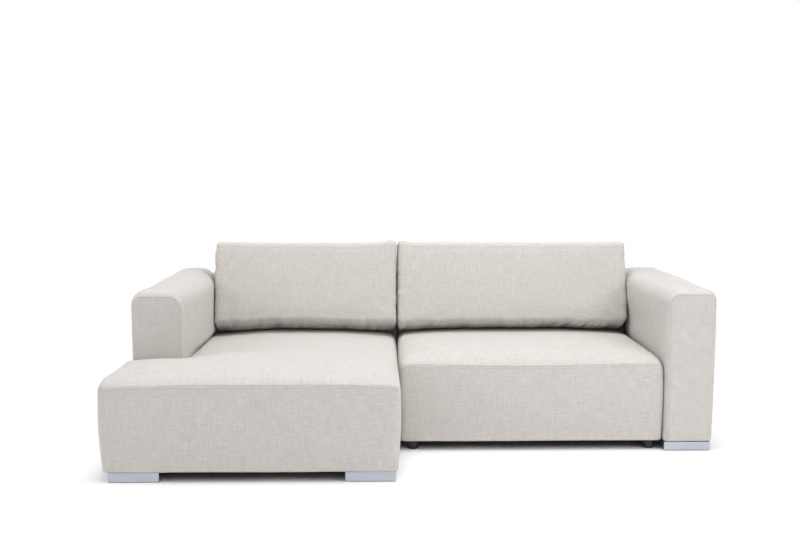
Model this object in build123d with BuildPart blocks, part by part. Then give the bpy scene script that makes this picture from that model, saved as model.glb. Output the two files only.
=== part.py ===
from build123d import *

import os
from math import radians, sqrt, tan

os.makedirs("parts", exist_ok=True)

# Driving dimensions of the sofa, in millimetres
sofa_width = 2360.0
chaise_length = 1390.0
chaise_width = 1092.0
arm_width = 200.0
arm_length = 965.0
arm_height = 655.0
foot_height = 36.0
chaise_overhang = 23.0
seat_setback = 20.0
back_depth = 205.0
back_lean = 12.0

# Upholstery build-up
cover_thickness = 2.0
cover_ease = 0.3
wrap = 22.0
module_gap = 2.0
joint_gap = 0.5
rest_gap = 0.4
dust_sheet = 1.0

# Soft outlines of the seats, arms and backs
chaise_edge = 378.0
chaise_crown = 22.0
seat_edge = 374.0
seat_crown = 34.0
arm_side_edge = 352.0
seat_side_round = 40.0
front_roll_depth = 133.0
front_roll_height = 75.0
front_corner_depth = 25.0
front_corner_inset = 18.0
arm_top_round = 45.0
arm_end_round = 22.0
arm_inside_bevel = 0.6
back_knee = 400.0
back_front_round = 40.0
back_rear_round = 30.0

# Loose back cushions
cushion_top = 792.0
cushion_thickness = 192.0
cushion_bulge = 20.0
cushion_end_bulge = 0.4
cushion_top_dip = 5.0
cushion_roll = 42.0
cushion_end_inset = 34.0
facets_per_arc = 4
cushion_top_round = 55.0
cushion_low_round = 34.0
left_cushion_gap = 44.0
right_cushion_gap = 30.0
cushion_parting = 6.0

# Timber frame
rail_thickness = 22.0
rail_height = 190.0
panel_thickness = 18.0
strap_width = 70.0
strap_thickness = 3.0
back_strap_width = 56.0
front_strap_count = 4
rear_strap_count = 6
seat_strap_count = 8
back_strap_count = 3
foot_block_height = 40.0
foot_block_length = 150.0
foot_block_depth = 90.0
window_corner = 30.0
window_margin = 70.0
window_level = 200.0
rib_window_margin = 56.0

# Feet and fastenings
block_foot_length = 186.0
block_foot_depth = 80.0
block_foot_wall = 3.0
block_foot_top = 4.0
block_foot_setback = 10.0
pad_thickness = 2.0
pad_inset = 2.0
foot_chamfer = 2.0
round_foot_radius = 25.0
round_foot_base_radius = 21.0
round_foot_setback = 50.0
plate_length = 160.0
plate_width = 40.0
plate_thickness = 3.0

# Places worked out from the driving dimensions
left_x = -sofa_width / 2
right_x = sofa_width / 2
front_y = -chaise_length / 2
rear_y = chaise_length / 2
base_z = foot_height + dust_sheet
left_arm_x = left_x + chaise_overhang
left_arm_inner = left_arm_x + arm_width
right_arm_inner = right_x - arm_width
arm_front_y = rear_y - arm_length
back_front_y = rear_y - back_depth
seat_rear_y = back_front_y - joint_gap
chaise_right = left_x + chaise_width
chaise_inner = left_arm_inner + joint_gap
notch_y = arm_front_y - joint_gap
seat_left = chaise_right + module_gap
seat_right = right_arm_inner - joint_gap
seat_front_y = arm_front_y + seat_setback
rail_top = base_z + rail_height
strap_top = rail_top + strap_thickness
lean_slope = tan(radians(back_lean))


# Helpers for outlines
def roll(distance, depth, height):
    """Fall of an elliptical edge roll at a distance from the face it starts on."""
    if distance >= depth:
        return 0.0
    reach = (depth - distance) / depth
    return height * (1 - sqrt(1 - reach * reach))


def arc_height(x, left, right, edge, crown):
    """Height at x of the arc that spans left to right and rises by its crown."""
    half = (right - left) / 2
    radius = (half * half + crown * crown) / (2 * crown)
    offset = x - (left + right) / 2
    return edge + crown - radius + sqrt(radius * radius - offset * offset)


def save(builder, name):
    """Label a finished sub-part and write it."""
    builder.part.label = name
    export_step(builder.part, f"parts/{name}.step")


def block(x_range, y_range, z_range, mode=Mode.ADD):
    """Square timber between three pairs of limits, in the open sub-part."""
    limits = (x_range, y_range, z_range)
    centre = tuple((low + high) / 2 for low, high in limits)
    size = tuple(high - low for low, high in limits)
    with Locations(centre):
        Box(*size, mode=mode)


def board(name, x_range, y_range, z_range):
    """Write one plain frame board."""
    with BuildPart() as piece:
        block(x_range, y_range, z_range)
    save(piece, name)


def seat_section(y, left, right, heights, bottom, rounds):
    """Cross-section of a seat at y: square sides, crowned top and rounded shoulders."""
    left_top, middle_top, right_top = heights
    with BuildSketch(Plane.XZ.offset(-y)) as section:
        with BuildLine():
            Polyline((left, left_top), (left, bottom), (right, bottom), (right, right_top))
            ThreePointArc((right, right_top), ((left + right) / 2, middle_top), (left, left_top))
        make_face()
        shoulders = section.vertices().group_by(Axis.Y)
        tops = [v for group in shoulders for v in group if v.Y > bottom + rail_height]
        fillet(tops, rounds)
    return section.sketch


# Stations of the soft rolls behind a seat's front and inside a cushion's ends
roll_stations = (0.0, 3.0, 10.0, 25.0, 50.0, 85.0, front_roll_depth)
inner_roll_stations = (0.0, 10.0, 50.0, front_roll_depth)
cushion_stations = (0.0, 10.0, cushion_roll)
cushion_shares = (0.12, 0.31, 0.5, 0.69, 0.88)
settle_shares = (0.0, 0.35, 0.7, 1.0)


def chaise_heights(fall, inset):
    """Left, middle and right heights of the chaise's crowned top."""
    edge = chaise_edge - fall - inset
    return edge, edge + chaise_crown, edge


def chaise_body(inset, bottom):
    """L-shaped chaise: rolled front, crowned top, and a narrower part beside the arm."""
    left = left_x + inset
    inner = chaise_inner + inset
    right = chaise_right - inset
    front = front_y + inset
    rear = seat_rear_y - inset
    notch = notch_y - inset
    rounds = seat_side_round - inset
    full = chaise_heights(0.0, inset)
    rolled = []
    for distance in inner_roll_stations if inset else roll_stations:
        fall = roll(distance, front_roll_depth, front_roll_height)
        draw = roll(distance, front_corner_depth, front_corner_inset)
        heights = chaise_heights(fall, inset)
        rolled.append(seat_section(front + distance, left + draw, right - draw, heights, bottom, rounds))
    whole = seat_section(notch, left, right, full, bottom, rounds)
    shared = arc_height(inner, left, right, full[0], chaise_crown)
    middle = arc_height((inner + right) / 2, left, right, full[0], chaise_crown)
    low = arm_side_edge - inset
    settle = 3 * seat_side_round
    settling = []
    for share in settle_shares:
        edge = shared + (low - shared) * share * share * (3 - 2 * share)
        heights = (edge, middle, full[2])
        settling.append(seat_section(notch + share * settle, inner, right, heights, bottom, rounds))
    beside_arm = seat_section(rear, inner, right, (low, middle, full[2]), bottom, rounds)
    with BuildPart() as body:
        loft(rolled, ruled=True)
        extrude(whole, amount=notch - front - front_roll_depth)
        loft(settling, ruled=True)
        extrude(beside_arm, amount=rear - notch - settle)
    return body.part


def seat_body(inset, bottom):
    """Right seat: rolled front edge and a crowned top that runs to the back."""
    left = seat_left + inset
    right = seat_right - inset
    rear = seat_rear_y - inset
    front = seat_front_y + inset
    rounds = seat_side_round - inset
    top = seat_edge - inset
    rolled = []
    for distance in inner_roll_stations if inset else roll_stations:
        edge = top - roll(distance, front_roll_depth, front_roll_height)
        draw = roll(distance, front_corner_depth, front_corner_inset)
        heights = (edge, edge + seat_crown, edge)
        rolled.append(seat_section(front + distance, left + draw, right - draw, heights, bottom, rounds))
    whole = seat_section(rear, left, right, (top, top + seat_crown, top), bottom, rounds)
    with BuildPart() as body:
        loft(rolled, ruled=True)
        extrude(whole, amount=rear - front - front_roll_depth)
    return body.part


def arm_body(left, inset, bottom):
    """Arm with rounded top edges and softly rounded ends."""
    top = arm_height - inset
    with BuildPart() as body:
        with BuildSketch(Plane.XZ.offset(inset - rear_y)) as profile:
            with Locations((left + arm_width / 2, (top + bottom) / 2)):
                Rectangle(arm_width - 2 * inset, top - bottom)
            fillet(profile.vertices().group_by(Axis.Y)[-1], arm_top_round - inset)
        extrude(amount=arm_length - 2 * inset)
        for end in (0, -1):
            rim = body.faces().sort_by(Axis.Y)[end].edges()
            rim = rim.filter_by(lambda edge: edge.center().Z > bottom + 1)
            if inset:
                chamfer(rim, arm_end_round * arm_inside_bevel)
            else:
                fillet(rim, arm_end_round)
    return body.part


def back_outline(inset, bottom, front_inset):
    """Side outline of a back: upright below the knee, leaning above it."""
    front = back_front_y + front_inset
    rear = rear_y - inset
    top = arm_height - inset
    crest = front + (top - back_knee) * lean_slope
    return (front, bottom), (front, back_knee), (crest, top), (rear, top), (rear, bottom)


def back_body(left, right, inset, bottom):
    """Back that stands behind a seat between the arm and the module joint."""
    with BuildPart() as body:
        with BuildSketch(Plane.YZ.offset(left + inset)) as profile:
            with BuildLine():
                Polyline(*back_outline(inset, bottom, inset), close=True)
            make_face()
            crest = profile.vertices().group_by(Axis.Y)[-1].sort_by(Axis.X)
            fillet(crest[0], back_front_round - inset)
            crest = profile.vertices().group_by(Axis.Y)[-1].sort_by(Axis.X)
            fillet(crest[-1], back_rear_round - inset)
        extrude(amount=right - left - 2 * inset)
    return body.part


# Loose back cushions
def cushion_section(x, foot, top, draw, swell, inset):
    """Side outline of a back cushion at x: leaning back face, bulged front and soft rims."""
    thickness = cushion_thickness - 2 * inset - draw
    bulge = cushion_bulge * (cushion_end_bulge + (1 - cushion_end_bulge) * swell)
    rear_low = back_front_y - rest_gap - inset + (foot - back_knee) * lean_slope
    rear_top = rear_low + (top - foot) * lean_slope
    front_low = (rear_low - thickness, foot)
    front_top = (rear_top - thickness, top - bulge / 2)
    belly = ((front_low[0] + front_top[0]) / 2 - bulge, (foot + top) / 2)
    ridge = (rear_top - thickness / 2, top + bulge / 2)
    with BuildSketch() as outline:
        with BuildLine():
            Polyline(front_low, (rear_low, foot), (rear_top, top))
            ThreePointArc((rear_top, top), ridge, front_top)
            ThreePointArc(front_top, belly, front_low)
        make_face()
        fillet(outline.vertices().filter_by(lambda v: v.Y > belly[1]), cushion_top_round - inset)
        toe = outline.vertices().group_by(Axis.Y)[0].sort_by(Axis.X)[0]
        fillet(toe, cushion_low_round - inset)
    points = []
    for edge in outline.wire().order_edges():
        count = 1 if edge.geom_type == GeomType.LINE else facets_per_arc
        points += [edge @ (step / count) for step in range(count)]
    with BuildSketch(Plane.YZ.offset(x)) as section:
        with BuildLine():
            Polyline(*points, close=True)
        make_face()
    return section.sketch


def cushion_body(left, right, seat_arc, inset):
    """Loose back cushion: full in the middle, drawn in at its ends, shaped to the seat it stands on."""
    seat_left_end, seat_right_end, seat_ends, seat_middle = seat_arc
    width = right - left
    near = [(left + inset + distance, distance) for distance in cushion_stations]
    centre = [(left + share * width, cushion_roll) for share in cushion_shares]
    far = [(right - inset - distance, distance) for distance in reversed(cushion_stations)]
    arc = ThreePointArc(
        (seat_left_end, seat_ends[0]),
        ((seat_left_end + seat_right_end) / 2, seat_middle),
        (seat_right_end, seat_ends[1]),
        mode=Mode.PRIVATE,
    )
    widest = max(b - a for a, b in zip(cushion_shares, cushion_shares[1:])) * width
    lift = rest_gap + inset + widest**2 / (8 * arc.radius)
    sections = []
    for x, distance in near + centre + far:
        draw = roll(distance, cushion_roll, cushion_end_inset)
        swell = 1 - ((x - left) / width * 2 - 1) ** 2
        foot = arc.position_at((x - seat_left_end) / (seat_right_end - seat_left_end)).Y + lift
        top = cushion_top - inset - draw / 2 - swell * cushion_top_dip
        sections.append(cushion_section(x, foot, top, draw, swell, inset))
    with BuildPart() as body:
        loft(sections, ruled=True)
    return body.part


def loose_cushion(name, left, right, seat_arc):
    """Write a back cushion's closed cover and the filling inside it."""
    outer = cushion_body(left, right, seat_arc, 0.0)
    inner = cushion_body(left, right, seat_arc, cover_thickness)
    stuffing = cushion_body(left, right, seat_arc, cover_thickness + cover_ease)
    with BuildPart() as cover:
        add(outer)
        add(inner, mode=Mode.SUBTRACT)
    save(cover, f"{name}_cover")
    with BuildPart() as filling:
        add(stuffing)
    save(filling, f"{name}_filling")


# Covers, foams and fillings
def upholster(name, form, core):
    """Write a fitted cover and the foam inside it, cut for the frame that it wraps."""
    outer = form(0.0, base_z)
    inner = form(cover_thickness, base_z - dust_sheet)
    stuffing = form(cover_thickness + cover_ease, base_z)
    with BuildPart() as cover:
        add(outer)
        add(inner, mode=Mode.SUBTRACT)
    save(cover, f"{name}_cover")
    with BuildPart() as foam:
        add(stuffing)
        add(core, mode=Mode.SUBTRACT)
    save(foam, f"{name}_foam")


# Frame limits inside the upholstery
chaise_frame_left = left_x + wrap
chaise_frame_inner = chaise_inner + wrap
chaise_frame_right = chaise_right - wrap
chaise_frame_front = front_y + wrap
chaise_frame_notch = notch_y - wrap
seat_frame_left = seat_left + wrap
seat_frame_right = seat_right - wrap
seat_frame_front = seat_front_y + wrap
frame_rear = seat_rear_y - wrap
rail_z = (base_z, rail_top)
core_z = (base_z - dust_sheet, strap_top)

# Chaise: upholstery round an L-shaped frame
with BuildPart() as chaise_core:
    block((chaise_frame_left, chaise_frame_right), (chaise_frame_front, chaise_frame_notch), core_z)
    block((chaise_frame_inner, chaise_frame_right), (chaise_frame_front, frame_rear), core_z)
upholster("chaise", chaise_body, chaise_core.part)

# Right seat upholstery
with BuildPart() as seat_core:
    block((seat_frame_left, seat_frame_right), (seat_frame_front, frame_rear), core_z)
upholster("seat", seat_body, seat_core.part)

# Chaise frame rails
behind_front = chaise_frame_front + rail_thickness
ahead_of_rear = frame_rear - rail_thickness
cross_front = chaise_frame_notch - rail_thickness
chaise_inside_right = chaise_frame_right - rail_thickness
chaise_inside_left = chaise_frame_left + rail_thickness
board(
    "chaise_front_rail",
    (chaise_frame_left, chaise_frame_right),
    (chaise_frame_front, behind_front),
    rail_z,
)
board("chaise_left_rail", (chaise_frame_left, chaise_inside_left), (behind_front, cross_front), rail_z)
board(
    "chaise_cross_rail",
    (chaise_frame_left, chaise_inside_right),
    (cross_front, chaise_frame_notch),
    rail_z,
)
board(
    "chaise_arm_rail",
    (chaise_frame_inner, chaise_frame_inner + rail_thickness),
    (chaise_frame_notch, ahead_of_rear),
    rail_z,
)
board("chaise_right_rail", (chaise_inside_right, chaise_frame_right), (behind_front, ahead_of_rear), rail_z)
board(
    "chaise_rear_rail",
    (chaise_frame_inner, chaise_frame_right),
    (ahead_of_rear, frame_rear),
    rail_z,
)

# Right seat frame rails
seat_behind_front = seat_frame_front + rail_thickness
seat_inside_left = seat_frame_left + rail_thickness
seat_inside_right = seat_frame_right - rail_thickness
seat_middle_x = (seat_left + seat_right) / 2
board("seat_front_rail", (seat_frame_left, seat_frame_right), (seat_frame_front, seat_behind_front), rail_z)
board(
    "seat_rear_rail",
    (seat_frame_left, seat_frame_right),
    (ahead_of_rear, frame_rear),
    rail_z,
)
board("seat_left_rail", (seat_frame_left, seat_inside_left), (seat_behind_front, ahead_of_rear), rail_z)
board(
    "seat_right_rail",
    (seat_inside_right, seat_frame_right),
    (seat_behind_front, ahead_of_rear),
    rail_z,
)
board(
    "seat_stretcher",
    (seat_middle_x + rail_thickness, seat_middle_x + 2 * rail_thickness),
    (seat_behind_front, ahead_of_rear),
    rail_z,
)


# Elastic straps that carry the seat foam
def spread(low, high, count):
    """Centres of equal shares between two limits."""
    pitch = (high - low) / count
    return [low + pitch * (place + 0.5) for place in range(count)]


with BuildPart() as chaise_straps:
    for y in spread(behind_front, cross_front, front_strap_count):
        across = (y - strap_width / 2, y + strap_width / 2)
        block((chaise_frame_left, chaise_frame_right), across, (rail_top, strap_top))
    for y in spread(chaise_frame_notch, ahead_of_rear, rear_strap_count):
        across = (y - strap_width / 2, y + strap_width / 2)
        block((chaise_frame_inner, chaise_frame_right), across, (rail_top, strap_top))
save(chaise_straps, "chaise_straps")

with BuildPart() as seat_straps:
    for x in spread(seat_inside_left, seat_inside_right, seat_strap_count):
        across = (x - strap_width / 2, x + strap_width / 2)
        block(across, (seat_frame_front, frame_rear), (rail_top, strap_top))
save(seat_straps, "seat_straps")


# Corner blocks that take the feet
def foot_blocks(name, lefts, front):
    """Pair of hardwood blocks behind a front rail."""
    with BuildPart() as blocks:
        for x in lefts:
            along = (x, x + foot_block_length)
            block(along, (front, front + foot_block_depth), (base_z, base_z + foot_block_height))
    save(blocks, name)


foot_blocks(
    "chaise_foot_blocks",
    (chaise_inside_left, chaise_inside_right - foot_block_length),
    behind_front,
)
foot_blocks("seat_foot_blocks", (seat_inside_left, seat_inside_right - foot_block_length), seat_behind_front)


# Arms: boxed panel frame, foam and cover
def arm(side, left, inner_is_right):
    """Write one arm's boards, foam and cover."""
    low_x = left + wrap
    high_x = left + arm_width - wrap
    front = arm_front_y + wrap
    rear = rear_y - wrap
    top = arm_height - wrap
    panel_z = (base_z + panel_thickness, top - panel_thickness)
    inner_face = high_x - panel_thickness if inner_is_right else low_x
    outer_face = low_x if inner_is_right else high_x - panel_thickness
    window_z = (window_level, panel_z[1] - window_margin)
    window_size = ((rear - front - 4 * window_margin) / 3, window_z[1] - window_z[0])
    for name, face in (("inner", inner_face), ("outer", outer_face)):
        with BuildPart() as panel:
            block((face, face + panel_thickness), (front, rear), panel_z)
            with BuildSketch(Plane.YZ.offset(face)) as windows:
                for y in spread(front + window_margin / 2, rear - window_margin / 2, 3):
                    with Locations((y, sum(window_z) / 2)):
                        Rectangle(*window_size)
                chamfer(windows.vertices(), window_corner)
            extrude(amount=panel_thickness, mode=Mode.SUBTRACT)
        save(panel, f"{side}_arm_{name}_panel")
    with BuildPart() as ends:
        between = (low_x + panel_thickness, high_x - panel_thickness)
        block(between, (front, front + panel_thickness), panel_z)
        block(between, (rear - panel_thickness, rear), panel_z)
    save(ends, f"{side}_arm_end_panels")
    with BuildPart() as boards:
        for low in (base_z, top - panel_thickness):
            block((low_x, high_x), (front, rear), (low, low + panel_thickness))
    save(boards, f"{side}_arm_boards")
    with BuildPart() as core:
        block((low_x, high_x), (front, rear), (base_z - dust_sheet, top))
    upholster(f"{side}_arm", lambda inset, bottom: arm_body(left, inset, bottom), core.part)


arm("left", left_arm_x, True)
arm("right", right_arm_inner, False)


# Backs: ribs, rails and straps under foam and a cover
def back(side, left, right):
    """Write one back's ribs, rails, straps, foam and cover."""
    front = back_front_y + wrap
    rear = rear_y - wrap
    rib_top = arm_height - wrap - panel_thickness
    rail_low = base_z + panel_thickness
    rib_crest = front + (rib_top - back_knee) * lean_slope
    top_crest = rib_crest + panel_thickness * lean_slope
    span = (left + wrap, right - wrap)
    rib_faces = [span[0] + share * (span[1] - span[0] - panel_thickness) for share in (0, 1 / 3, 2 / 3, 1)]
    with BuildPart() as ribs:
        for face in rib_faces:
            with BuildSketch(Plane.YZ.offset(face)):
                with BuildLine():
                    Polyline(
                        (front + panel_thickness, base_z),
                        (front + panel_thickness, rail_top),
                        (front, rail_top),
                        (front, back_knee),
                        (rib_crest, rib_top),
                        (rear, rib_top),
                        (rear, base_z),
                        close=True,
                    )
                make_face()
            extrude(amount=panel_thickness)
            opening = (rear - front - 2 * rib_window_margin, rib_top - rail_top - 2 * window_margin)
            with BuildSketch(Plane.YZ.offset(face)) as window:
                with Locations(((rib_crest + rear) / 2, (rail_top + rib_top) / 2)):
                    Rectangle(*opening)
                chamfer(window.vertices(), window_corner / 2)
            extrude(amount=panel_thickness, mode=Mode.SUBTRACT)
    save(ribs, f"{side}_back_ribs")
    board(f"{side}_back_top_rail", span, (top_crest, rear), (rib_top, rib_top + panel_thickness))
    board(f"{side}_back_low_rail", span, (front, front + panel_thickness), (rail_low, rail_top))
    with BuildPart() as straps:
        for level in spread(back_knee, rib_top, back_strap_count):
            place = ((span[0] + span[1]) / 2, front + (level - back_knee) * lean_slope, level)
            with Locations(Plane(place, x_dir=(1, 0, 0), z_dir=(0, -1, lean_slope))):
                flat = (Align.CENTER, Align.CENTER, Align.MIN)
                Box(span[1] - span[0], back_strap_width, strap_thickness, align=flat)
    save(straps, f"{side}_back_straps")
    core_front = wrap - strap_thickness - cover_ease
    with BuildPart() as core:
        with BuildSketch(Plane.YZ.offset(span[0])):
            with BuildLine():
                Polyline(*back_outline(wrap, base_z - dust_sheet, core_front), close=True)
            make_face()
        extrude(amount=span[1] - span[0])
    upholster(f"{side}_back", lambda inset, bottom: back_body(left, right, inset, bottom), core.part)


back("left", chaise_inner, chaise_right)
back("right", seat_left, seat_right)

# Two loose cushions that stand on the seats and lean on the backs
chaise_top_middle = arc_height(
    (chaise_inner + chaise_right) / 2, left_x, chaise_right, chaise_edge, chaise_crown
)
loose_cushion(
    "left_cushion",
    left_arm_inner + left_cushion_gap,
    chaise_right - cushion_parting / 2,
    (chaise_inner, chaise_right, (arm_side_edge, chaise_edge), chaise_top_middle),
)
loose_cushion(
    "right_cushion",
    seat_left + cushion_parting / 2,
    right_arm_inner - right_cushion_gap,
    (seat_left, seat_right, (seat_edge, seat_edge), seat_edge + seat_crown),
)

# Dust sheets under the two modules
sheet_margin = 4 * cover_thickness
sheet_z = (foot_height, base_z)
sheet_notch = notch_y - sheet_margin
sheet_rear = rear_y - sheet_margin
with BuildPart() as chaise_dust_sheet:
    sheet_right = chaise_right - sheet_margin
    block((left_x + sheet_margin, sheet_right), (front_y + sheet_margin, sheet_notch), sheet_z)
    block((left_arm_x + sheet_margin, sheet_right), (sheet_notch, sheet_rear), sheet_z)
save(chaise_dust_sheet, "chaise_dust_sheet")
with BuildPart() as seat_dust_sheet:
    sheet_sides = (seat_left + sheet_margin, right_x - sheet_margin)
    block(sheet_sides, (seat_front_y + sheet_margin, sheet_rear), sheet_z)
save(seat_dust_sheet, "seat_dust_sheet")

# Polished block feet: thin-walled castings with two inner ribs, each on a glide pad
arm_foot_margin = arm_width - block_foot_length
foot_front_y = front_y + block_foot_setback
foot_rear_y = rear_y - block_foot_setback - block_foot_depth
block_feet = {
    "chaise_front_left_foot": (chaise_frame_left, foot_front_y),
    "chaise_front_right_foot": (chaise_right - wrap - block_foot_length, foot_front_y),
    "left_arm_rear_foot": (left_arm_x + arm_foot_margin, foot_rear_y),
    "right_arm_front_foot": (right_arm_inner, arm_front_y + block_foot_setback),
    "right_arm_rear_foot": (right_arm_inner, foot_rear_y),
}
for name, (x, y) in block_feet.items():
    centre = (x + block_foot_length / 2, y + block_foot_depth / 2)
    hollow_length = block_foot_length - 2 * block_foot_wall
    hollow_depth = block_foot_depth - 2 * block_foot_wall
    hollow_height = foot_height - pad_thickness - block_foot_top
    with BuildPart() as foot:
        with BuildSketch(Plane.XY.offset(pad_thickness)) as outline:
            with Locations(centre):
                Rectangle(block_foot_length, block_foot_depth)
            chamfer(outline.vertices(), foot_chamfer)
        extrude(amount=foot_height - pad_thickness)
        with BuildSketch(Plane.XY.offset(pad_thickness)):
            with Locations(centre):
                Rectangle(hollow_length, hollow_depth)
                with GridLocations(block_foot_length / 3, 0, 2, 1):
                    Rectangle(block_foot_wall, hollow_depth, mode=Mode.SUBTRACT)
        extrude(amount=hollow_height, mode=Mode.SUBTRACT)
    save(foot, name)

with BuildPart() as glide_pads:
    with BuildSketch() as pad_outlines:
        for x, y in block_feet.values():
            with Locations((x + block_foot_length / 2, y + block_foot_depth / 2)):
                Rectangle(block_foot_length - 2 * pad_inset, block_foot_depth - 2 * pad_inset)
        chamfer(pad_outlines.vertices(), foot_chamfer)
    extrude(amount=pad_thickness)
save(glide_pads, "glide_pads")

# Turned plastic feet under the seat's front corners and beside the module joint
round_feet_places = (
    (seat_left + round_foot_setback, seat_front_y + round_foot_setback),
    (seat_right - round_foot_setback, seat_front_y + round_foot_setback),
    (seat_left + round_foot_setback, rear_y - round_foot_setback),
    (chaise_right - round_foot_setback, rear_y - round_foot_setback),
)
with BuildPart() as round_feet:
    for x, y in round_feet_places:
        with BuildSketch(Plane((x, y, 0), x_dir=(1, 0, 0), z_dir=(0, -1, 0))):
            with BuildLine():
                Polyline(
                    (0, 0),
                    (round_foot_base_radius, 0),
                    (round_foot_radius, foot_height),
                    (0, foot_height),
                    close=True,
                )
            make_face()
        revolve(axis=Axis((x, y, 0), (0, 0, 1)))
save(round_feet, "round_feet")

# Steel plates that join the two modules underneath
with BuildPart() as joining_plates:
    joint_x = chaise_right + module_gap / 2
    with BuildSketch(Plane.XY.offset(foot_height - plate_thickness)) as plate_outlines:
        for y in (seat_front_y + 4 * round_foot_setback, frame_rear - 2 * round_foot_setback):
            with Locations((joint_x, y)):
                Rectangle(plate_length, plate_width)
        chamfer(plate_outlines.vertices(), 2 * plate_thickness)
    extrude(amount=plate_thickness)
save(joining_plates, "joining_plates")
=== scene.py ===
import itertools
import math

import bmesh
import bpy
import numpy as np
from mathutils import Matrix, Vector, kdtree


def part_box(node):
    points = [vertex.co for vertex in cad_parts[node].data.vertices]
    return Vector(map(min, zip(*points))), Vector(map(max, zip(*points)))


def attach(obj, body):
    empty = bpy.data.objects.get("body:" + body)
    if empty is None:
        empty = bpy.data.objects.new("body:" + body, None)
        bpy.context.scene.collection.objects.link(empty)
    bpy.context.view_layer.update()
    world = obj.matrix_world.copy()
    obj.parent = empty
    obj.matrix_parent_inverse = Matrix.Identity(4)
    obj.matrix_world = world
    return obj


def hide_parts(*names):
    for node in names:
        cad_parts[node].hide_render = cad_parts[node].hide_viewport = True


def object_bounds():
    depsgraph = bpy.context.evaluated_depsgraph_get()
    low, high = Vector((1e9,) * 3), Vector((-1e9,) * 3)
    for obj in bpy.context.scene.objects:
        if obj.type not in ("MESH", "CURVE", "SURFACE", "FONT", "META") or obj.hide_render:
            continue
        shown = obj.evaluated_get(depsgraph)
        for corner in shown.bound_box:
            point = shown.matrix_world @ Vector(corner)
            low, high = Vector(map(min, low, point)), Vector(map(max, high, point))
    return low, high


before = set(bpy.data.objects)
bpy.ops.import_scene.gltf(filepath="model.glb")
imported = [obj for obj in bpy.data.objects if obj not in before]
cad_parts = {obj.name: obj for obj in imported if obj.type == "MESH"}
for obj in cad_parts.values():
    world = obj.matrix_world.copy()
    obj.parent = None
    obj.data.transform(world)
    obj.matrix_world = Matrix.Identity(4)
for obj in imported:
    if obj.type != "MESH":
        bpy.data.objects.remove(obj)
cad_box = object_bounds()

bl_info = {
    "name": "Corner sofa dressing",
    "version": (1, 0, 0),
    "blender": (4, 5, 0),
    "location": "View3D > Sidebar > Sofa",
    "description": "Upholsters the corner sofa's frame and sets it in a plain studio",
    "category": "Object",
}

SOFA = "sofa"
WEAVE = "weave"
# Degrees along a quarter roll at which its lines are drawn
ROLL_ANGLES = (0, 3, 7, 12, 18, 25, 33, 42, 52, 62, 72, 81, 90)
EDGE_ANGLES = (0, 5, 12, 22, 34, 47, 61, 75, 90)
CREASE_ANGLES = (0, 15, 35, 60, 90)
END_ANGLES = (0, 5, 12, 22, 34, 47, 61, 75, 84, 90)
# Rings of the wrap panel inside an end panel's edge
END_RINGS = (0.0018, 0.0055, 0.013)
# Shifts of the weave, so that threads of neighbouring panels don't line up
WALL_SHIFT, END_SHIFT = 3.7, 5.3
GRID_STEP = 0.014
CORNER_STEPS, SMALLEST_RADIUS = 4, 0.002
# Clearance of a cover from the piece beside or below it
CLEARANCE = 0.0003
# Radius at the lower edges of arms and backs
LOW_RADIUS = 0.006
# Backs stand upright up to the knee and lean back above it
LEAN, KNEE = math.tan(math.radians(12)), 0.400
TINY = 1e-9
SEAT_FILLING = {"pressure": 1.2, "spare": 0.0006, "cap": 0.006}
FILLING_FRAMES = 20

# Arms: radii of the top edges, insets of the front seam from the left, right, bottom and top,
# and how far the inner side is padded low and high
ARMS = {
    "left": {
        "inner": 0.062, "outer": 0.056, "outer_more": 0.026, "front_seam": (0.012, 0.003, 0.006, 0.028),
        "padded_low": 0.034, "padded_high": 0.0},
    "right": {
        "inner": 0.054, "outer": 0.042, "outer_more": 0.014, "front_seam": (0.016, 0.012, 0.006, 0.022),
        "padded_low": 0.012, "padded_high": 0.013},
}
ARM_REAR_SEAM = (0.014, 0.014, 0.006, 0.014)

# Back cushions: shifts of the two ends, rise of the front's lower edge, and bulges of the end panels
CUSHIONS = {
    "left": {"ends": (-0.007, -0.0065), "raised": 0.052, "end_bulges": (0.002, 0.0035)},
    "right": {"ends": (-0.0045, 0.001), "raised": 0.042, "end_bulges": (0.0035, 0.002)},
}


# Sizes and colours that a user would change
class SofaCloth(bpy.types.PropertyGroup):
    colour: bpy.props.FloatVectorProperty(
        name="Cloth colour", description="Main colour of the linen weave",
        subtype="COLOR", size=3, min=0, max=1, default=(0.613, 0.586, 0.559))
    pale_thread: bpy.props.FloatVectorProperty(
        name="Pale thread", description="Colour of the thick, pale slub threads",
        subtype="COLOR", size=3, min=0, max=1, default=(0.745, 0.718, 0.690))
    dark_thread: bpy.props.FloatVectorProperty(
        name="Dark thread", description="Colour of the thin, darker threads",
        subtype="COLOR", size=3, min=0, max=1, default=(0.455, 0.424, 0.395))
    stitch: bpy.props.FloatVectorProperty(
        name="Stitch colour", description="Colour of the sewing thread",
        subtype="COLOR", size=3, min=0, max=1, default=(0.300, 0.275, 0.250))
    pitch: bpy.props.FloatProperty(
        name="Thread pitch", description="Distance between neighbouring threads",
        unit="LENGTH", default=0.0019, min=0.0005, max=0.01)


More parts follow.
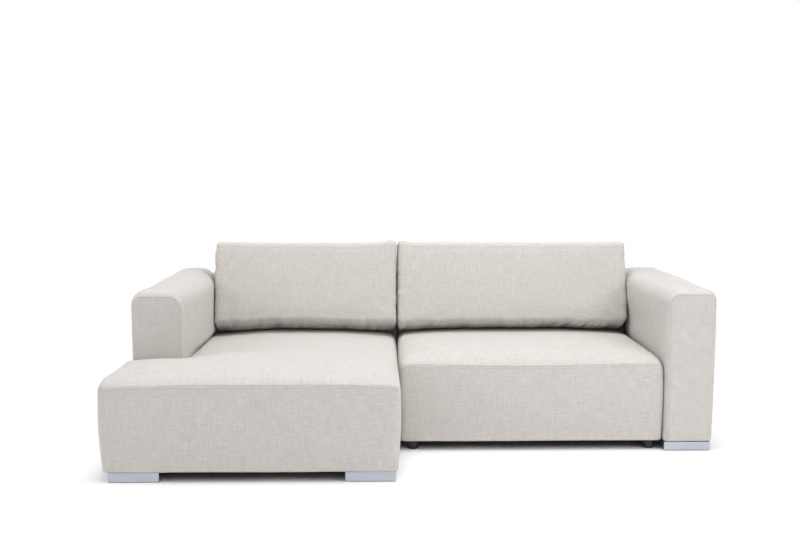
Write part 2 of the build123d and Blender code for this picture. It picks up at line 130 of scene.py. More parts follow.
class SofaForm(bpy.types.PropertyGroup):
    chaise_seam: bpy.props.FloatProperty(
        name="Chaise seam", description="Height of the chaise's front seam",
        unit="LENGTH", default=0.355)
    seat_seam: bpy.props.FloatProperty(
        name="Seat seam", description="Height of the right seat's front seam",
        unit="LENGTH", default=0.352)
    seat_seam_sag: bpy.props.FloatProperty(
        name="Seat seam sag", description="Sag of the right seat's front seam in the middle",
        unit="LENGTH", default=0.013)
    chaise_crown: bpy.props.FloatProperty(
        name="Chaise crown", description="Rise of the chaise's top between its sides",
        unit="LENGTH", default=0.022)
    seat_crown: bpy.props.FloatProperty(
        name="Seat crown", description="Rise of the right seat's top between its sides",
        unit="LENGTH", default=0.019)
    front_roll: bpy.props.FloatProperty(
        name="Front roll", description="Depth of the soft roll behind a seat's front seam",
        unit="LENGTH", default=0.082)
    cushion_bulge: bpy.props.FloatProperty(
        name="Cushion bulge", description="Swell of a back cushion's front before it is filled",
        unit="LENGTH", default=0.008)
    cushion_pressure: bpy.props.FloatProperty(
        name="Cushion pressure", description="Pressure of the filling in the back cushions",
        default=1.5, min=0, max=20)
    stitch_pitch: bpy.props.FloatProperty(
        name="Stitch pitch", description="Distance between neighbouring stitches",
        unit="LENGTH", default=0.0085)


class SofaStudio(bpy.types.PropertyGroup):
    ambient: bpy.props.FloatProperty(
        name="Ambient", description="Strength of the even light from all around", default=0.66, min=0)
    top_lamp: bpy.props.FloatProperty(
        name="Top lamp", description="Power of the large lamp overhead",
        subtype="POWER", default=76.0, min=0)
    side_lamp: bpy.props.FloatProperty(
        name="Side lamp", description="Power of the lamp at the front right",
        subtype="POWER", default=51.0, min=0)
    fill_lamp: bpy.props.FloatProperty(
        name="Fill lamp", description="Power of the weak lamp at the left",
        subtype="POWER", default=40.0, min=0)
    lens: bpy.props.FloatProperty(
        name="Lens", description="Focal length in millimetres on a 36 mm sensor", default=49.226, min=1)
    camera: bpy.props.FloatVectorProperty(
        name="Camera place", description="Where the camera stands",
        subtype="TRANSLATION", size=3, default=(-0.159, -4.590, 1.133))
    tilt: bpy.props.FloatProperty(
        name="Tilt", description="Camera's tilt below the horizon",
        subtype="ANGLE", default=math.radians(5.079))
    turn: bpy.props.FloatProperty(
        name="Turn", description="Camera's turn towards the right arm",
        subtype="ANGLE", default=math.radians(0.926))


# Lines, rolls and soft noise
def roll_lines(depth, angles=EDGE_ANGLES):
    """Distances from an edge at which a roll is drawn, closest together at the edge."""
    return depth * (1 - np.cos(np.radians(angles)))


def evenly(low, high, step):
    """Lines between two limits, about a step apart."""
    return np.linspace(low, high, max(1, round((high - low) / step)) + 1)


def lines(*parts):
    """Sorted lines of several parts, each place once."""
    every = np.sort(np.concatenate(parts))
    return every[np.concatenate(([True], np.diff(every) > 1e-5))]


def rise(distance, depth):
    """Share of its full height that a roll has reached at a distance from its edge."""
    reach = np.clip(1 - distance / depth, 0, 1)
    return np.sqrt(1 - reach * reach)


def front_share(distance, roll, slope, slope_share):
    """Share of a seat's height behind its front seam: a round roll on a long, gentle slope."""
    reach = np.clip(1 - distance / slope, 0, 1)
    return (1 - slope_share) * rise(distance, roll) + slope_share * (1 - reach * reach)


def ease(value):
    """Soft step from 0 to 1."""
    share = np.clip(value, 0, 1)
    return share * share * (3 - 2 * share)


def noise(places, pitch, seed):
    """Smooth noise from -1 to 1 with about one wave in two pitches."""
    scaled = np.atleast_2d(places) / pitch
    cell = np.floor(scaled)
    part = ease(scaled - cell)
    total = np.zeros(len(scaled))
    weights = np.array((127.1, 311.7, 74.7))[: scaled.shape[1]]
    for corner in itertools.product((0, 1), repeat=scaled.shape[1]):
        corner = np.array(corner)
        value = np.sin((cell + corner) @ weights + 17.3 * seed) * 43758.5453
        share = np.prod(np.where(corner, part, 1 - part), axis=1)
        total += share * (2 * (value - np.floor(value)) - 1)
    return total


def run_length(points):
    """Distance along a line of points, starting at 0."""
    steps = np.linalg.norm(np.diff(points, axis=0), axis=1)
    return np.concatenate(([0], np.cumsum(steps)))


def resample(points, step):
    """Points of a line about a step apart, and their distances along it."""
    along = run_length(points)
    places = evenly(0, along[-1], step)
    return np.stack([np.interp(places, along, points[:, k]) for k in range(3)], 1), places


# Sewing panels into one mesh
def coords(mesh):
    flat = np.empty(len(mesh.vertices) * 3, np.float32)
    mesh.vertices.foreach_get("co", flat)
    return flat.reshape(-1, 3).astype(float)


def set_coords(mesh, points):
    mesh.vertices.foreach_set("co", points.astype(np.float32).ravel())
    mesh.update()


def vertex_normals(mesh):
    flat = np.empty(len(mesh.vertices) * 3, np.float32)
    mesh.vertex_normals.foreach_get("vector", flat)
    return flat.reshape(-1, 3).astype(float)


class Cover:
    """Panels of cloth that are sewn together along their shared edges."""

    def __init__(self):
        self.points, self.weave, self.faces, self.count = [], [], [], 0
        self.seams = []

    def panel(self, points, weave, keep=None):
        rows, columns = points.shape[:2]
        index = self.count + np.arange(rows * columns).reshape(rows, columns)
        quads = np.stack([index[:-1, :-1], index[1:, :-1], index[1:, 1:], index[:-1, 1:]], -1)
        self.points.append(points.reshape(-1, 3))
        self.weave.append(weave.reshape(-1, 2))
        self.faces.append(quads[keep] if keep is not None else quads.reshape(-1, 4))
        self.count += rows * columns

    def seam(self, points):
        self.seams.append(np.asarray(points))

    def make(self, name, material):
        """The sewn object, and each seam as the indices of its vertices."""
        points = np.concatenate(self.points)
        weave = np.concatenate(self.weave)
        faces = np.concatenate(self.faces)
        mesh = bpy.data.meshes.new(name)
        mesh.from_pydata(points.tolist(), [], faces.tolist())
        layer = mesh.uv_layers.new(name=WEAVE)
        layer.data.foreach_set("uv", weave[faces.ravel()].astype(np.float32).ravel())
        sewn = bmesh.new()
        sewn.from_mesh(mesh)
        loose = [v for v in sewn.verts if not v.link_faces]
        bmesh.ops.delete(sewn, geom=loose, context="VERTS")
        bmesh.ops.remove_doubles(sewn, verts=sewn.verts, dist=2e-5)
        bmesh.ops.recalc_face_normals(sewn, faces=sewn.faces)
        for face in sewn.faces:
            face.smooth = True
        sewn.to_mesh(mesh)
        sewn.free()
        mesh.materials.append(material)
        obj = bpy.data.objects.new(name, mesh)
        bpy.context.scene.collection.objects.link(obj)
        tree = point_tree(coords(mesh))
        return obj, [[tree.find(p)[1] for p in seam] for seam in self.seams]


def point_tree(points):
    tree = kdtree.KDTree(len(points))
    for index, point in enumerate(points):
        tree.insert(point, index)
    tree.balance()
    return tree


def swell(obj, held, pressure, spare, cap):
    """Fill a sewn cover: cloth under pressure, with spare cloth between the places that hold it."""
    start = coords(obj.data)
    group = obj.vertex_groups.new(name="held")
    group.add([int(i) for i in held], 1.0, "REPLACE")
    filling = obj.modifiers.new("filling", "CLOTH")
    cloth = filling.settings
    cloth.quality = 6
    cloth.mass = 0.35
    cloth.tension_stiffness = 25
    cloth.compression_stiffness = 25
    cloth.shear_stiffness = 10
    cloth.bending_stiffness = 0.6
    cloth.use_pressure = True
    cloth.uniform_pressure_force = pressure
    cloth.shrink_min = -spare
    cloth.vertex_group_mass = "held"
    cloth.pin_stiffness = 1.0
    cloth.effector_weights.gravity = 0
    filling.point_cache.frame_start = 1
    filling.point_cache.frame_end = FILLING_FRAMES
    scene = bpy.context.scene
    for step in range(1, FILLING_FRAMES + 1):
        scene.frame_set(step)
    graph = bpy.context.evaluated_depsgraph_get()
    filled = obj.evaluated_get(graph).to_mesh()
    moved = coords(filled) - start
    obj.evaluated_get(graph).to_mesh_clear()
    obj.modifiers.remove(filling)
    obj.vertex_groups.remove(group)
    scene.frame_set(1)
    length = np.linalg.norm(moved, axis=1, keepdims=True)
    soft = cap * np.tanh(length / cap)
    set_coords(obj.data, start + moved * soft / np.maximum(length, TINY))


def refine(obj):
    """Divide a sewn cover's faces, and keep the finer mesh."""
    divide = obj.modifiers.new("refine", "SUBSURF")
    divide.levels = divide.render_levels = 1
    divide.uv_smooth = "NONE"
    graph = bpy.context.evaluated_depsgraph_get()
    finer = bpy.data.meshes.new_from_object(obj.evaluated_get(graph), depsgraph=graph)
    obj.modifiers.remove(divide)
    coarse = obj.data
    obj.data = finer
    bpy.data.meshes.remove(coarse)
    finer.name = obj.name


def near_line(points, line, reach):
    """Distance of every point to a line, and how far along the line it lies, up to a reach."""
    spread, along = resample(line, 0.002)
    tree = point_tree(spread)
    distance = np.full(len(points), np.inf)
    place = np.zeros(len(points))
    low, high = spread.min(0) - reach, spread.max(0) + reach
    for i in np.flatnonzero(np.all((points > low) & (points < high), axis=1)):
        _, j, d = tree.find(points[i])
        if d < reach:
            distance[i], place[i] = d, along[j]
    return distance, place


def sew_seams(obj, seams, depth=0.0017, width=0.0021, plump=0.0002, pucker=0.0007, wave=0.011, seed=1):
    """Draw the cloth in along its seams, with small puckers beside them."""
    reach, pucker_start, pucker_reach, plump_at, plump_width = 0.09, 0.004, 0.022, 0.012, 0.009
    mesh = obj.data
    start = coords(mesh)
    normals = vertex_normals(mesh)
    shift = np.zeros(len(start))
    for number, seam in enumerate(seams):
        distance, place = near_line(start, start[seam], reach)
        hit = np.isfinite(distance)
        d, t = distance[hit], place[hit, None]
        groove = -depth * np.exp(-((d / width) ** 2))
        gathers = noise(t, wave, seed + number) + 0.6 * noise(t, 2.6 * wave, seed + number + 50)
        fade = np.exp(-d / pucker_reach) * (1 - np.exp(-((d / pucker_start) ** 2)))
        full = plump * np.exp(-(((d - plump_at) / plump_width) ** 2))
        shift[hit] += groove + pucker * gathers * fade + full
    set_coords(mesh, start + normals * shift[:, None])


def soften(obj, amount, pitch, seed):
    """Slow unevenness of hand-filled upholstery."""
    mesh = obj.data
    start = coords(mesh)
    shift = amount * (noise(start, pitch, seed) + 0.5 * noise(start, pitch / 2.3, seed + 9))
    set_coords(mesh, start + vertex_normals(mesh) * shift[:, None])


def gather(obj, level, reach, amount, pitch, seed):
    """Small upright folds low on a cushion's front, where its cloth is drawn together.

    level(x) is the height of the lower edge, amount(x) the depth of the folds.
    """
    mesh = obj.data
    start = coords(mesh)
    normals = vertex_normals(mesh)
    x, z = start[:, 0], start[:, 2]
    slant = (x - 0.45 * z)[:, None]
    folds = noise(slant, pitch, seed) + 0.6 * noise(slant, 2.3 * pitch, seed + 5)
    fade = np.exp(-(((z - level(x)) / reach) ** 2)) * np.clip(0.3 - normals[:, 1], 0, 1)
    set_coords(mesh, start + normals * (amount(x) * folds * fade)[:, None])


def stitch_row(name, surface, line, aside, pitch, material):
    """A row of short stitches on a cover, beside a seam."""
    thickness, sunk, sides = 0.00075, 0.0006, 6
    # Rings of a stitch: place in the pitch, share of the thickness, share of the sinking
    rings = (
        (-0.36, 0.35, -0.6), (-0.28, 0.8, 0.0), (0.0, 1.0, 0.25), (0.28, 0.8, 0.0), (0.36, 0.35, -0.6))
    spread, _ = resample(line, pitch)
    middle = (spread[:-1] + spread[1:]) / 2 + np.asarray(aside)
    ahead = np.diff(spread, axis=0)
    ahead /= np.linalg.norm(ahead, axis=1, keepdims=True)
    points, faces = [], []
    for centre, along in zip(middle, ahead):
        found, place, normal, _ = surface.closest_point_on_mesh(Vector(centre))
        if not found:
            raise RuntimeError("a stitch found no cloth")
        place, normal = np.array(place), np.array(normal)
        across = np.cross(normal, along)
        base = len(points)
        for shift, size, lift in rings:
            for k in range(sides):
                turn = 2 * math.pi * k / sides
                out = thickness * size * (math.cos(turn) * across + 0.8 * math.sin(turn) * normal)
                points.append(place + shift * pitch * along + out + lift * sunk * normal)
        for r in range(len(rings) - 1):
            for k in range(sides):
                a, b = base + r * sides + k, base + r * sides + (k + 1) % sides
                faces.append((a, b, b + sides, a + sides))
        faces.append(tuple(range(base + sides - 1, base - 1, -1)))
        last = base + (len(rings) - 1) * sides
        faces.append(tuple(range(last, last + sides)))
    mesh = bpy.data.meshes.new(name)
    mesh.from_pydata([tuple(p) for p in points], [], faces)
    mesh.shade_smooth()
    mesh.materials.append(material)
    obj = bpy.data.objects.new(name, mesh)
    bpy.context.scene.collection.objects.link(obj)
    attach(obj, SOFA)


def dress(obj, body, *nodes, fill):
    """Give a finished cover its body, and hide the solids it stands for."""
    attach(obj, body)
    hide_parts(*nodes)


# Materials
def new_material(name):
    material = bpy.data.materials.new(name)
    material.use_nodes = True
    tree = material.node_tree
    shader = tree.nodes["Principled BSDF"]
    return material, tree, shader


class Nodes:
    """Short words for wiring a material."""

    def __init__(self, tree):
        self.tree = tree

    def add(self, kind, **values):
        node = self.tree.nodes.new(kind)
        for name, value in values.items():
            setattr(node, name, value)
        return node

    def wire(self, value, socket):
        if hasattr(value, "is_linked"):
            self.tree.links.new(value, socket)
        else:
            socket.default_value = value

    def math(self, operation, *values):
        node = self.add("ShaderNodeMath", operation=operation)
        for value, socket in zip(values, node.inputs):
            self.wire(value, socket)
        return node.outputs[0]

    def scaled(self, vector, scale):
        node = self.add("ShaderNodeMapping")
        self.wire(vector, node.inputs["Vector"])
        node.inputs["Scale"].default_value = scale
        return node.outputs[0]

    def noise(self, vector, scale, detail=2.0, roughness=0.5):
        node = self.add("ShaderNodeTexNoise")
        self.wire(vector, node.inputs["Vector"])
        node.inputs["Scale"].default_value = scale
        node.inputs["Detail"].default_value = detail
        node.inputs["Roughness"].default_value = roughness
        return node.outputs["Fac"]

    def span(self, value, low, high, out_low=0.0, out_high=1.0):
        node = self.add("ShaderNodeMapRange")
        self.wire(value, node.inputs["Value"])
        limits = {"From Min": low, "From Max": high, "To Min": out_low, "To Max": out_high}
        for name, limit in limits.items():
            node.inputs[name].default_value = limit
        return node.outputs["Result"]

    def bump(self, height, distance, strength):
        node = self.add("ShaderNodeBump")
        self.wire(height, node.inputs["Height"])
        node.inputs["Distance"].default_value = distance
        node.inputs["Strength"].default_value = strength
        return node.outputs["Normal"]


def rgba(colour):
    return (*colour, 1.0)


def mixed(nodes, share, first, second):
    """Colour between two colours or sockets by a share."""
    node = nodes.add("ShaderNodeMix", data_type="RGBA")
    nodes.wire(share, node.inputs[0])
    nodes.wire(first, node.inputs[6])
    nodes.wire(second, node.inputs[7])
    return node.outputs[2]


def linen(cloth):
    """Linen-look plain weave with thick and thin threads and pale slubs."""
    material, tree, shader = new_material("linen_weave")
    nodes = Nodes(tree)
    plan = nodes.add("ShaderNodeUVMap", uv_map=WEAVE).outputs[0]
    wander = nodes.add("ShaderNodeTexNoise")
    nodes.wire(plan, wander.inputs["Vector"])
    wander.inputs["Scale"].default_value = 38.0
    wander.inputs["Detail"].default_value = 2.0
    drift = nodes.add("ShaderNodeVectorMath", operation="MULTIPLY_ADD")
    nodes.wire(wander.outputs["Color"], drift.inputs[0])
    drift.inputs[1].default_value = (0.0022, 0.0022, 0.0)
    nodes.wire(plan, drift.inputs[2])
    threads = drift.outputs[0]
    parts = nodes.add("ShaderNodeSeparateXYZ")
    nodes.wire(threads, parts.inputs[0])
    turns = math.pi / cloth.pitch
    across = nodes.math("MULTIPLY", parts.outputs[0], turns)
    along = nodes.math("MULTIPLY", parts.outputs[1], turns)
    over = nodes.math("MULTIPLY", nodes.math("SINE", across), nodes.math("SINE", along))
    weft_on_top = nodes.span(over, -0.25, 0.25)
    weft_round = nodes.math("ABSOLUTE", nodes.math("SINE", along))
    warp_round = nodes.math("ABSOLUTE", nodes.math("SINE", across))
    weft_tone = nodes.noise(nodes.scaled(threads, (16.0, 380.0, 1.0)), 1.0, 3.0, 0.6)
    warp_tone = nodes.noise(nodes.scaled(threads, (380.0, 15.0, 1.0)), 1.0, 3.0, 0.6)
    weft_slub = nodes.span(nodes.noise(nodes.scaled(threads, (34.0, 330.0, 1.0)), 1.0, 1.0), 0.59, 0.72)
    warp_slub = nodes.span(nodes.noise(nodes.scaled(threads, (330.0, 27.0, 1.0)), 1.0, 1.0), 0.61, 0.74)
    melange = nodes.span(nodes.noise(plan, 9.0, 4.0, 0.6), 0.3, 0.7)
    base = mixed(nodes, melange, rgba(np.array(cloth.colour) * 0.985), rgba(np.array(cloth.colour) * 1.015))
    weft = mixed(nodes, nodes.span(weft_tone, 0.36, 0.60, 0.84, 0.0), base, rgba(cloth.dark_thread))
    weft = mixed(nodes, nodes.math("MULTIPLY", weft_slub, 0.80), weft, rgba(cloth.pale_thread))
    warp = mixed(nodes, nodes.span(warp_tone, 0.36, 0.60, 0.72, 0.0), base, rgba(cloth.dark_thread))
    warp = mixed(nodes, nodes.math("MULTIPLY", warp_slub, 0.70), warp, rgba(cloth.pale_thread))
    woven = mixed(nodes, weft_on_top, warp, weft)
    nodes.wire(woven, shader.inputs["Base Color"])
    round_mix = nodes.add("ShaderNodeMix", data_type="FLOAT")
    nodes.wire(weft_on_top, round_mix.inputs[0])
    nodes.wire(warp_round, round_mix.inputs[2])
    nodes.wire(weft_round, round_mix.inputs[3])
    slubs = nodes.math("ADD", weft_slub, warp_slub)
    height = nodes.math("MULTIPLY_ADD", slubs, 0.7, round_mix.outputs[0])
    height = nodes.math("MULTIPLY_ADD", nodes.math("ADD", weft_tone, warp_tone), 0.8, height)
    nodes.wire(nodes.bump(height, 0.00045, 0.75), shader.inputs["Normal"])
    nodes.wire(nodes.span(weft_tone, 0.3, 0.7, 0.97, 0.86), shader.inputs["Roughness"])
    shader.inputs["Specular IOR Level"].default_value = 0.22
    shader.inputs["Sheen Weight"].default_value = 0.12
    shader.inputs["Sheen Roughness"].default_value = 0.55
    return material


def sewing_thread(cloth):
    """Twisted polyester thread of the seams."""
    material, tree, shader = new_material("sewing_thread")
    nodes = Nodes(tree)
    place = nodes.add("ShaderNodeTexCoord").outputs["Object"]
    ply = nodes.add("ShaderNodeTexWave")
    nodes.wire(place, ply.inputs["Vector"])
    ply.inputs["Scale"].default_value = 900.0
    ply.inputs["Distortion"].default_value = 2.0
    tone = nodes.noise(place, 260.0)
    pale, deep = np.array(cloth.stitch) * 1.12, np.array(cloth.stitch) * 0.82
    nodes.wire(mixed(nodes, tone, rgba(deep), rgba(pale)), shader.inputs["Base Color"])
    nodes.wire(nodes.bump(ply.outputs["Fac"], 0.0002, 0.5), shader.inputs["Normal"])
    shader.inputs["Roughness"].default_value = 0.62
    return material


def satin_chrome():
    """Satin silver finish of the block feet, with a fine brushed line."""
    material, tree, shader = new_material("satin_chrome")
    nodes = Nodes(tree)
    place = nodes.add("ShaderNodeTexCoord").outputs["Object"]
    brush = nodes.noise(nodes.scaled(place, (6.0, 6.0, 900.0)), 1.0, 3.0)
    haze = nodes.noise(place, 14.0, 3.0)
    tone = mixed(nodes, haze, rgba((0.455, 0.475, 0.545)), rgba((0.525, 0.547, 0.615)))
    nodes.wire(tone, shader.inputs["Base Color"])
    shader.inputs["Metallic"].default_value = 1.0
    nodes.wire(nodes.span(brush, 0.3, 0.7, 0.27, 0.40), shader.inputs["Roughness"])
    nodes.wire(nodes.bump(brush, 0.00008, 0.25), shader.inputs["Normal"])
    return material


def grained(name, pale, deep, grain, bump, roughness, scale=(1.0, 1.0, 1.0)):
    """Plain finish with a fine grain in its colour and surface."""
    material, tree, shader = new_material(name)
    nodes = Nodes(tree)
    place = nodes.scaled(nodes.add("ShaderNodeTexCoord").outputs["Object"], scale)
    fine = nodes.noise(place, grain, 4.0, 0.6)
    broad = nodes.noise(place, grain / 12, 2.0)
    share = nodes.span(nodes.math("ADD", fine, broad), 0.7, 1.3)
    nodes.wire(mixed(nodes, share, rgba(deep), rgba(pale)), shader.inputs["Base Color"])
    worn = nodes.span(fine, 0.3, 0.7, roughness * 0.88, min(1.0, roughness * 1.1))
    nodes.wire(worn, shader.inputs["Roughness"])
    nodes.wire(nodes.bump(fine, bump, 0.5), shader.inputs["Normal"])
    return material, shader


# Seat covers: a rolled top panel sewn to a wall panel
def wall_levels(seam, bottom):
    """Heights and insets of a wall from its seam down to the hem that is turned under."""
    turn = 0.008
    close = seam - np.array((0.0, 0.003, 0.009, 0.020, 0.036))
    straight = evenly(bottom + turn, seam - 0.056, 0.016)[::-1]
    angles = np.radians((20, 45, 70, 90))
    under = (0.020, 0.045)
    hem = bottom + turn * (1 - np.sin(angles))
    height = np.concatenate((close, straight, hem, [bottom] * len(under)))
    upright = np.zeros(len(close) + len(straight))
    inset = np.concatenate((upright, turn * (1 - np.cos(angles)), under))
    return height, inset


def outward(loop):
    """Level direction away from the form at each point of a closed plan outline."""
    ahead = np.roll(loop, -1, axis=0) - loop
    ahead /= np.maximum(np.linalg.norm(ahead, axis=1, keepdims=True), TINY)
    side = ahead + np.roll(ahead, 1, axis=0)
    side /= np.maximum(np.linalg.norm(side, axis=1, keepdims=True), TINY)
    return np.stack((side[:, 1], -side[:, 0]), 1)


def round_corner(x, y, corner, inward, radius):
    """Draw a square plan corner in to a round one."""
    dx = (corner[0] + inward[0] * radius - x) * inward[0]
    dy = (corner[1] + inward[1] * radius - y) * inward[1]
    inside = (dx > 0) & (dy > 0)
    length = np.hypot(dx, dy)
    pull = np.where(inside, np.maximum(dx, dy) / np.maximum(length, TINY), 1.0)
    new_x = np.where(inside, corner[0] + inward[0] * (radius - dx * pull), x)
    new_y = np.where(inside, corner[1] + inward[1] * (radius - dy * pull), y)
    return new_x, new_y


def seat_cover(name, xs, ys, inside, outline, height, corners, bottom, taper, material):
    """Sew a seat: top panel over the kept grid cells, and one wall panel round the outline."""
    belly = 0.003
    cover = Cover()
    grid_x, grid_y = np.meshgrid(xs, ys, indexing="ij")
    grid_z = height(grid_x, grid_y)
    plan_x, plan_y = grid_x, grid_y
    for corner, inward, radius in corners:
        plan_x, plan_y = round_corner(plan_x, plan_y, corner, inward, radius)
    top = np.stack((plan_x, plan_y, grid_z), -1)
    middle_x, middle_y = len(xs) // 2, len(ys) // 3
    weave = np.meshgrid(run_length(top[:, middle_y]), run_length(top[middle_x]), indexing="ij")
    keep = inside((grid_x[:-1, :-1] + grid_x[1:, 1:]) / 2, (grid_y[:-1, :-1] + grid_y[1:, 1:]) / 2)
    cover.panel(top, np.stack(weave, -1), keep)
    loop = np.array([top[i, j] for i, j in outline])
    seam = loop[:, 2].mean()
    levels, inset = wall_levels(seam, bottom)
    away = outward(loop[:, :2])
    share = np.clip((seam - levels) / (seam - bottom), 0, 1)
    tapered = taper(loop[:, 0], loop[:, 1], away)
    draw = tapered[None, :] * (share**1.6)[:, None] + inset[:, None]
    draw = draw - belly * np.sin(np.pi * share)[:, None]
    wall = np.empty((len(levels), len(loop) + 1, 3))
    wall[:, :-1, :2] = loop[None, :, :2] - away[None] * draw[..., None]
    stretch = (loop[:, 2] - bottom) / (seam - bottom)
    wall[:, :-1, 2] = bottom + (levels - bottom)[:, None] * stretch[None]
    wall[:, -1] = wall[:, 0]
    down = -run_length(np.stack((inset, levels), 1))
    around = run_length(np.vstack((loop, loop[:1])))
    wall_weave = np.meshgrid(down, around, indexing="ij")[::-1]
    cover.panel(wall, np.stack(wall_weave, -1) + WALL_SHIFT)
    cover.seam(wall[0])
    return cover.make(name, material)


def boundary(xs, ys, turns):
    """Grid places along a plan outline through its turning points, as index pairs."""
    path = []
    for (x0, y0), (x1, y1) in zip(turns, turns[1:] + turns[:1]):
        i0, i1 = (int(np.argmin(abs(xs - x))) for x in (x0, x1))
        j0, j1 = (int(np.argmin(abs(ys - y))) for y in (y0, y1))
        steps = max(abs(i1 - i0), abs(j1 - j0))
        path += [(i0 + (i1 - i0) * k // steps, j0 + (j1 - j0) * k // steps) for k in range(steps)]
    return path


def chaise_limits():
    """Plan limits of the chaise and of the notch in which its arm stands."""
    low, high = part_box("chaise_cover")
    arm_low, arm_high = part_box("left_arm_cover")
    fuller, joint, beside_arm = 0.010, 0.006, 0.0005
    notch = arm_high.x + beside_arm, arm_low.y - beside_arm
    return low.x - fuller, high.x - joint, low.y, high.y, *notch, low.z


def shoulders(x, left, right, drops, widths):
    """How far a seat's edge lies below its front seam at its left and right shoulders."""
    return drops[0] * (1 - rise(x - left, widths[0])) + drops[1] * (1 - rise(right - x, widths[1]))


def chaise_height(form):
    """Height of the chaise's top over its plan."""
    left, right, front, rear, notch_x, notch_y, _ = chaise_limits()
    edge = 0.378
    middle, half = (left + right) / 2, (right - left) / 2

    def height(x, y):
        crown = edge + form.chaise_crown * (1 - abs((x - middle) / half) ** 3)
        # Fuller at the front left corner, and lower towards the arm
        plump = 0.0090 - 0.0125 * np.clip((y - front - 0.04) / 0.38, 0, 1)
        crown = crown + plump * np.exp(-(((x - left) / 0.14) ** 2))
        # Sunk beside the arm, with a small dip at the arm's front corner
        aside = np.maximum(x - notch_x, 0)
        beside = (0.003 + 0.016 * np.exp(-((aside / 0.18) ** 2))) * ease((y - notch_y + 0.005) / 0.075)
        corner = np.hypot(x - notch_x, y - notch_y)
        crown = crown - 0.008 * np.exp(-((corner / 0.11) ** 2))
        crown = crown - np.where(x > notch_x - 1e-6, beside, 0)
        # Distance from the arm, in widths of the roll beside it and of the crease before it
        arm = np.hypot(np.maximum(x - notch_x, 0) / 0.045, np.maximum(notch_y - y, 0) / 0.012)
        share = front_share(y - front, form.front_roll, 0.27, 0.20)
        share = share * rise(x - left, 0.026) * rise(right - x, 0.060)
        share = share * rise(arm, 1.0) * rise(rear - y, 0.020)
        # The right shoulder falls away behind the front corner
        sunk = 0.016 + 0.030 * ease((y - front - 0.10) / 0.25)
        seam = form.chaise_seam - shoulders(x, left, right, (0.016, sunk), (0.018, 0.036))
        seam = seam - 0.006 * (1 - ease((x - left) / 0.24))
        return seam + (crown - seam) * share

    return height


def seat_limits():
    """Plan limits of the right seat."""
    low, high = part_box("seat_cover")
    joint = 0.006
    return low.x - joint, high.x, low.y, high.y, low.z


def seat_seam(form, x):
    """Height of the right seat's seam, which sags between its ends."""
    left, right = seat_limits()[:2]
    share = np.clip((x - left) / (right - left), 0, 1)
    sag = form.seat_seam_sag * np.sin(np.pi * share) - 0.004 * share
    return form.seat_seam - sag - shoulders(x, left, right, (0.042, 0.046), (0.032, 0.046))


def seat_height(form):
    """Height of the right seat's top over its plan."""
    left, right, front, rear, _ = seat_limits()
    edge = 0.381
    middle, half = (left + right) / 2, (right - left) / 2

    def height(x, y):
        crown = edge + form.seat_crown * (1 - abs((x - middle) / half) ** 4)
        share = front_share(y - front, form.front_roll, 0.36, 0.26)
        share = share * rise(x - left, 0.044) * rise(right - x, 0.050) * rise(rear - y, 0.020)
        seam = seat_seam(form, x)
        return seam + (crown - seam) * share

    return height


def held_seat(obj, seams, bottom, front, right):
    """Vertices of a seat cover that its frame holds: seam, hem, and the sides that touch a neighbour."""
    hem, cushion_y, side = 0.05, 0.24, 0.03
    points = coords(obj.data)
    low = points[:, 2] < bottom + hem
    behind = points[:, 1] > cushion_y
    hidden = (points[:, 1] > front + side) & (points[:, 0] > right - side)
    return np.union1d(np.concatenate(seams), np.flatnonzero(low | behind | hidden))


# Arms, backs and cushions: a rounded form of rings, closed by two end panels
def rounded_sides(low, high, radii, insets, counts):
    """Sides of a rounded rectangle, each from one corner's middle to the next, starting at the low left."""
    low_a, low_b = low[0] + insets[0], low[1] + insets[2]
    high_a, high_b = high[0] - insets[1], high[1] - insets[3]
    shrink = (insets[0] + insets[2], insets[1] + insets[2], insets[1] + insets[3], insets[0] + insets[3])
    r = [max(radius - inset / 2, SMALLEST_RADIUS) for radius, inset in zip(radii, shrink)]
    centres = np.array((
        (low_a + r[0], low_b + r[0]), (high_a - r[1], low_b + r[1]),
        (high_a - r[2], high_b - r[2]), (low_a + r[3], high_b - r[3])))
    sides = []
    for k in range(4):
        after = (k + 1) % 4
        bend = np.radians(225 + 90 * k) + np.linspace(0, math.pi / 4, CORNER_STEPS + 1)
        first = centres[k] + r[k] * np.stack((np.cos(bend), np.sin(bend)), 1)
        bend = bend + math.pi / 4
        last = centres[after] + r[after] * np.stack((np.cos(bend), np.sin(bend)), 1)
        share = np.linspace(0, 1, counts[k % 2] + 1)[1:-1, None]
        sides.append(np.vstack((first, first[-1] + (last[0] - first[-1]) * share, last)))
    return sides


def share_along(first, second, axis):
    """Shares of two facing sides' length along an axis, as their mean."""
    spans = [(side[:, axis] - side[0, axis]) / (side[-1, axis] - side[0, axis]) for side in (first, second)]
    return sum(spans) / 2


def fill_end(sides):
    """Grid of points inside four sides, with its shares across and up."""
    low, right, top, left = sides[0], sides[1], sides[2][::-1], sides[3][::-1]
    s = share_along(low, top, 0)[:, None, None]
    t = share_along(left, right, 1)[None, :, None]
    ruled = (1 - t) * low[:, None] + t * top[:, None] + (1 - s) * left[None] + s * right[None]
    corners = (1 - s) * (1 - t) * low[0] + s * (1 - t) * low[-1] + (1 - s) * t * top[0] + s * t * top[-1]
    return ruled - corners, s[..., 0], t[..., 0]


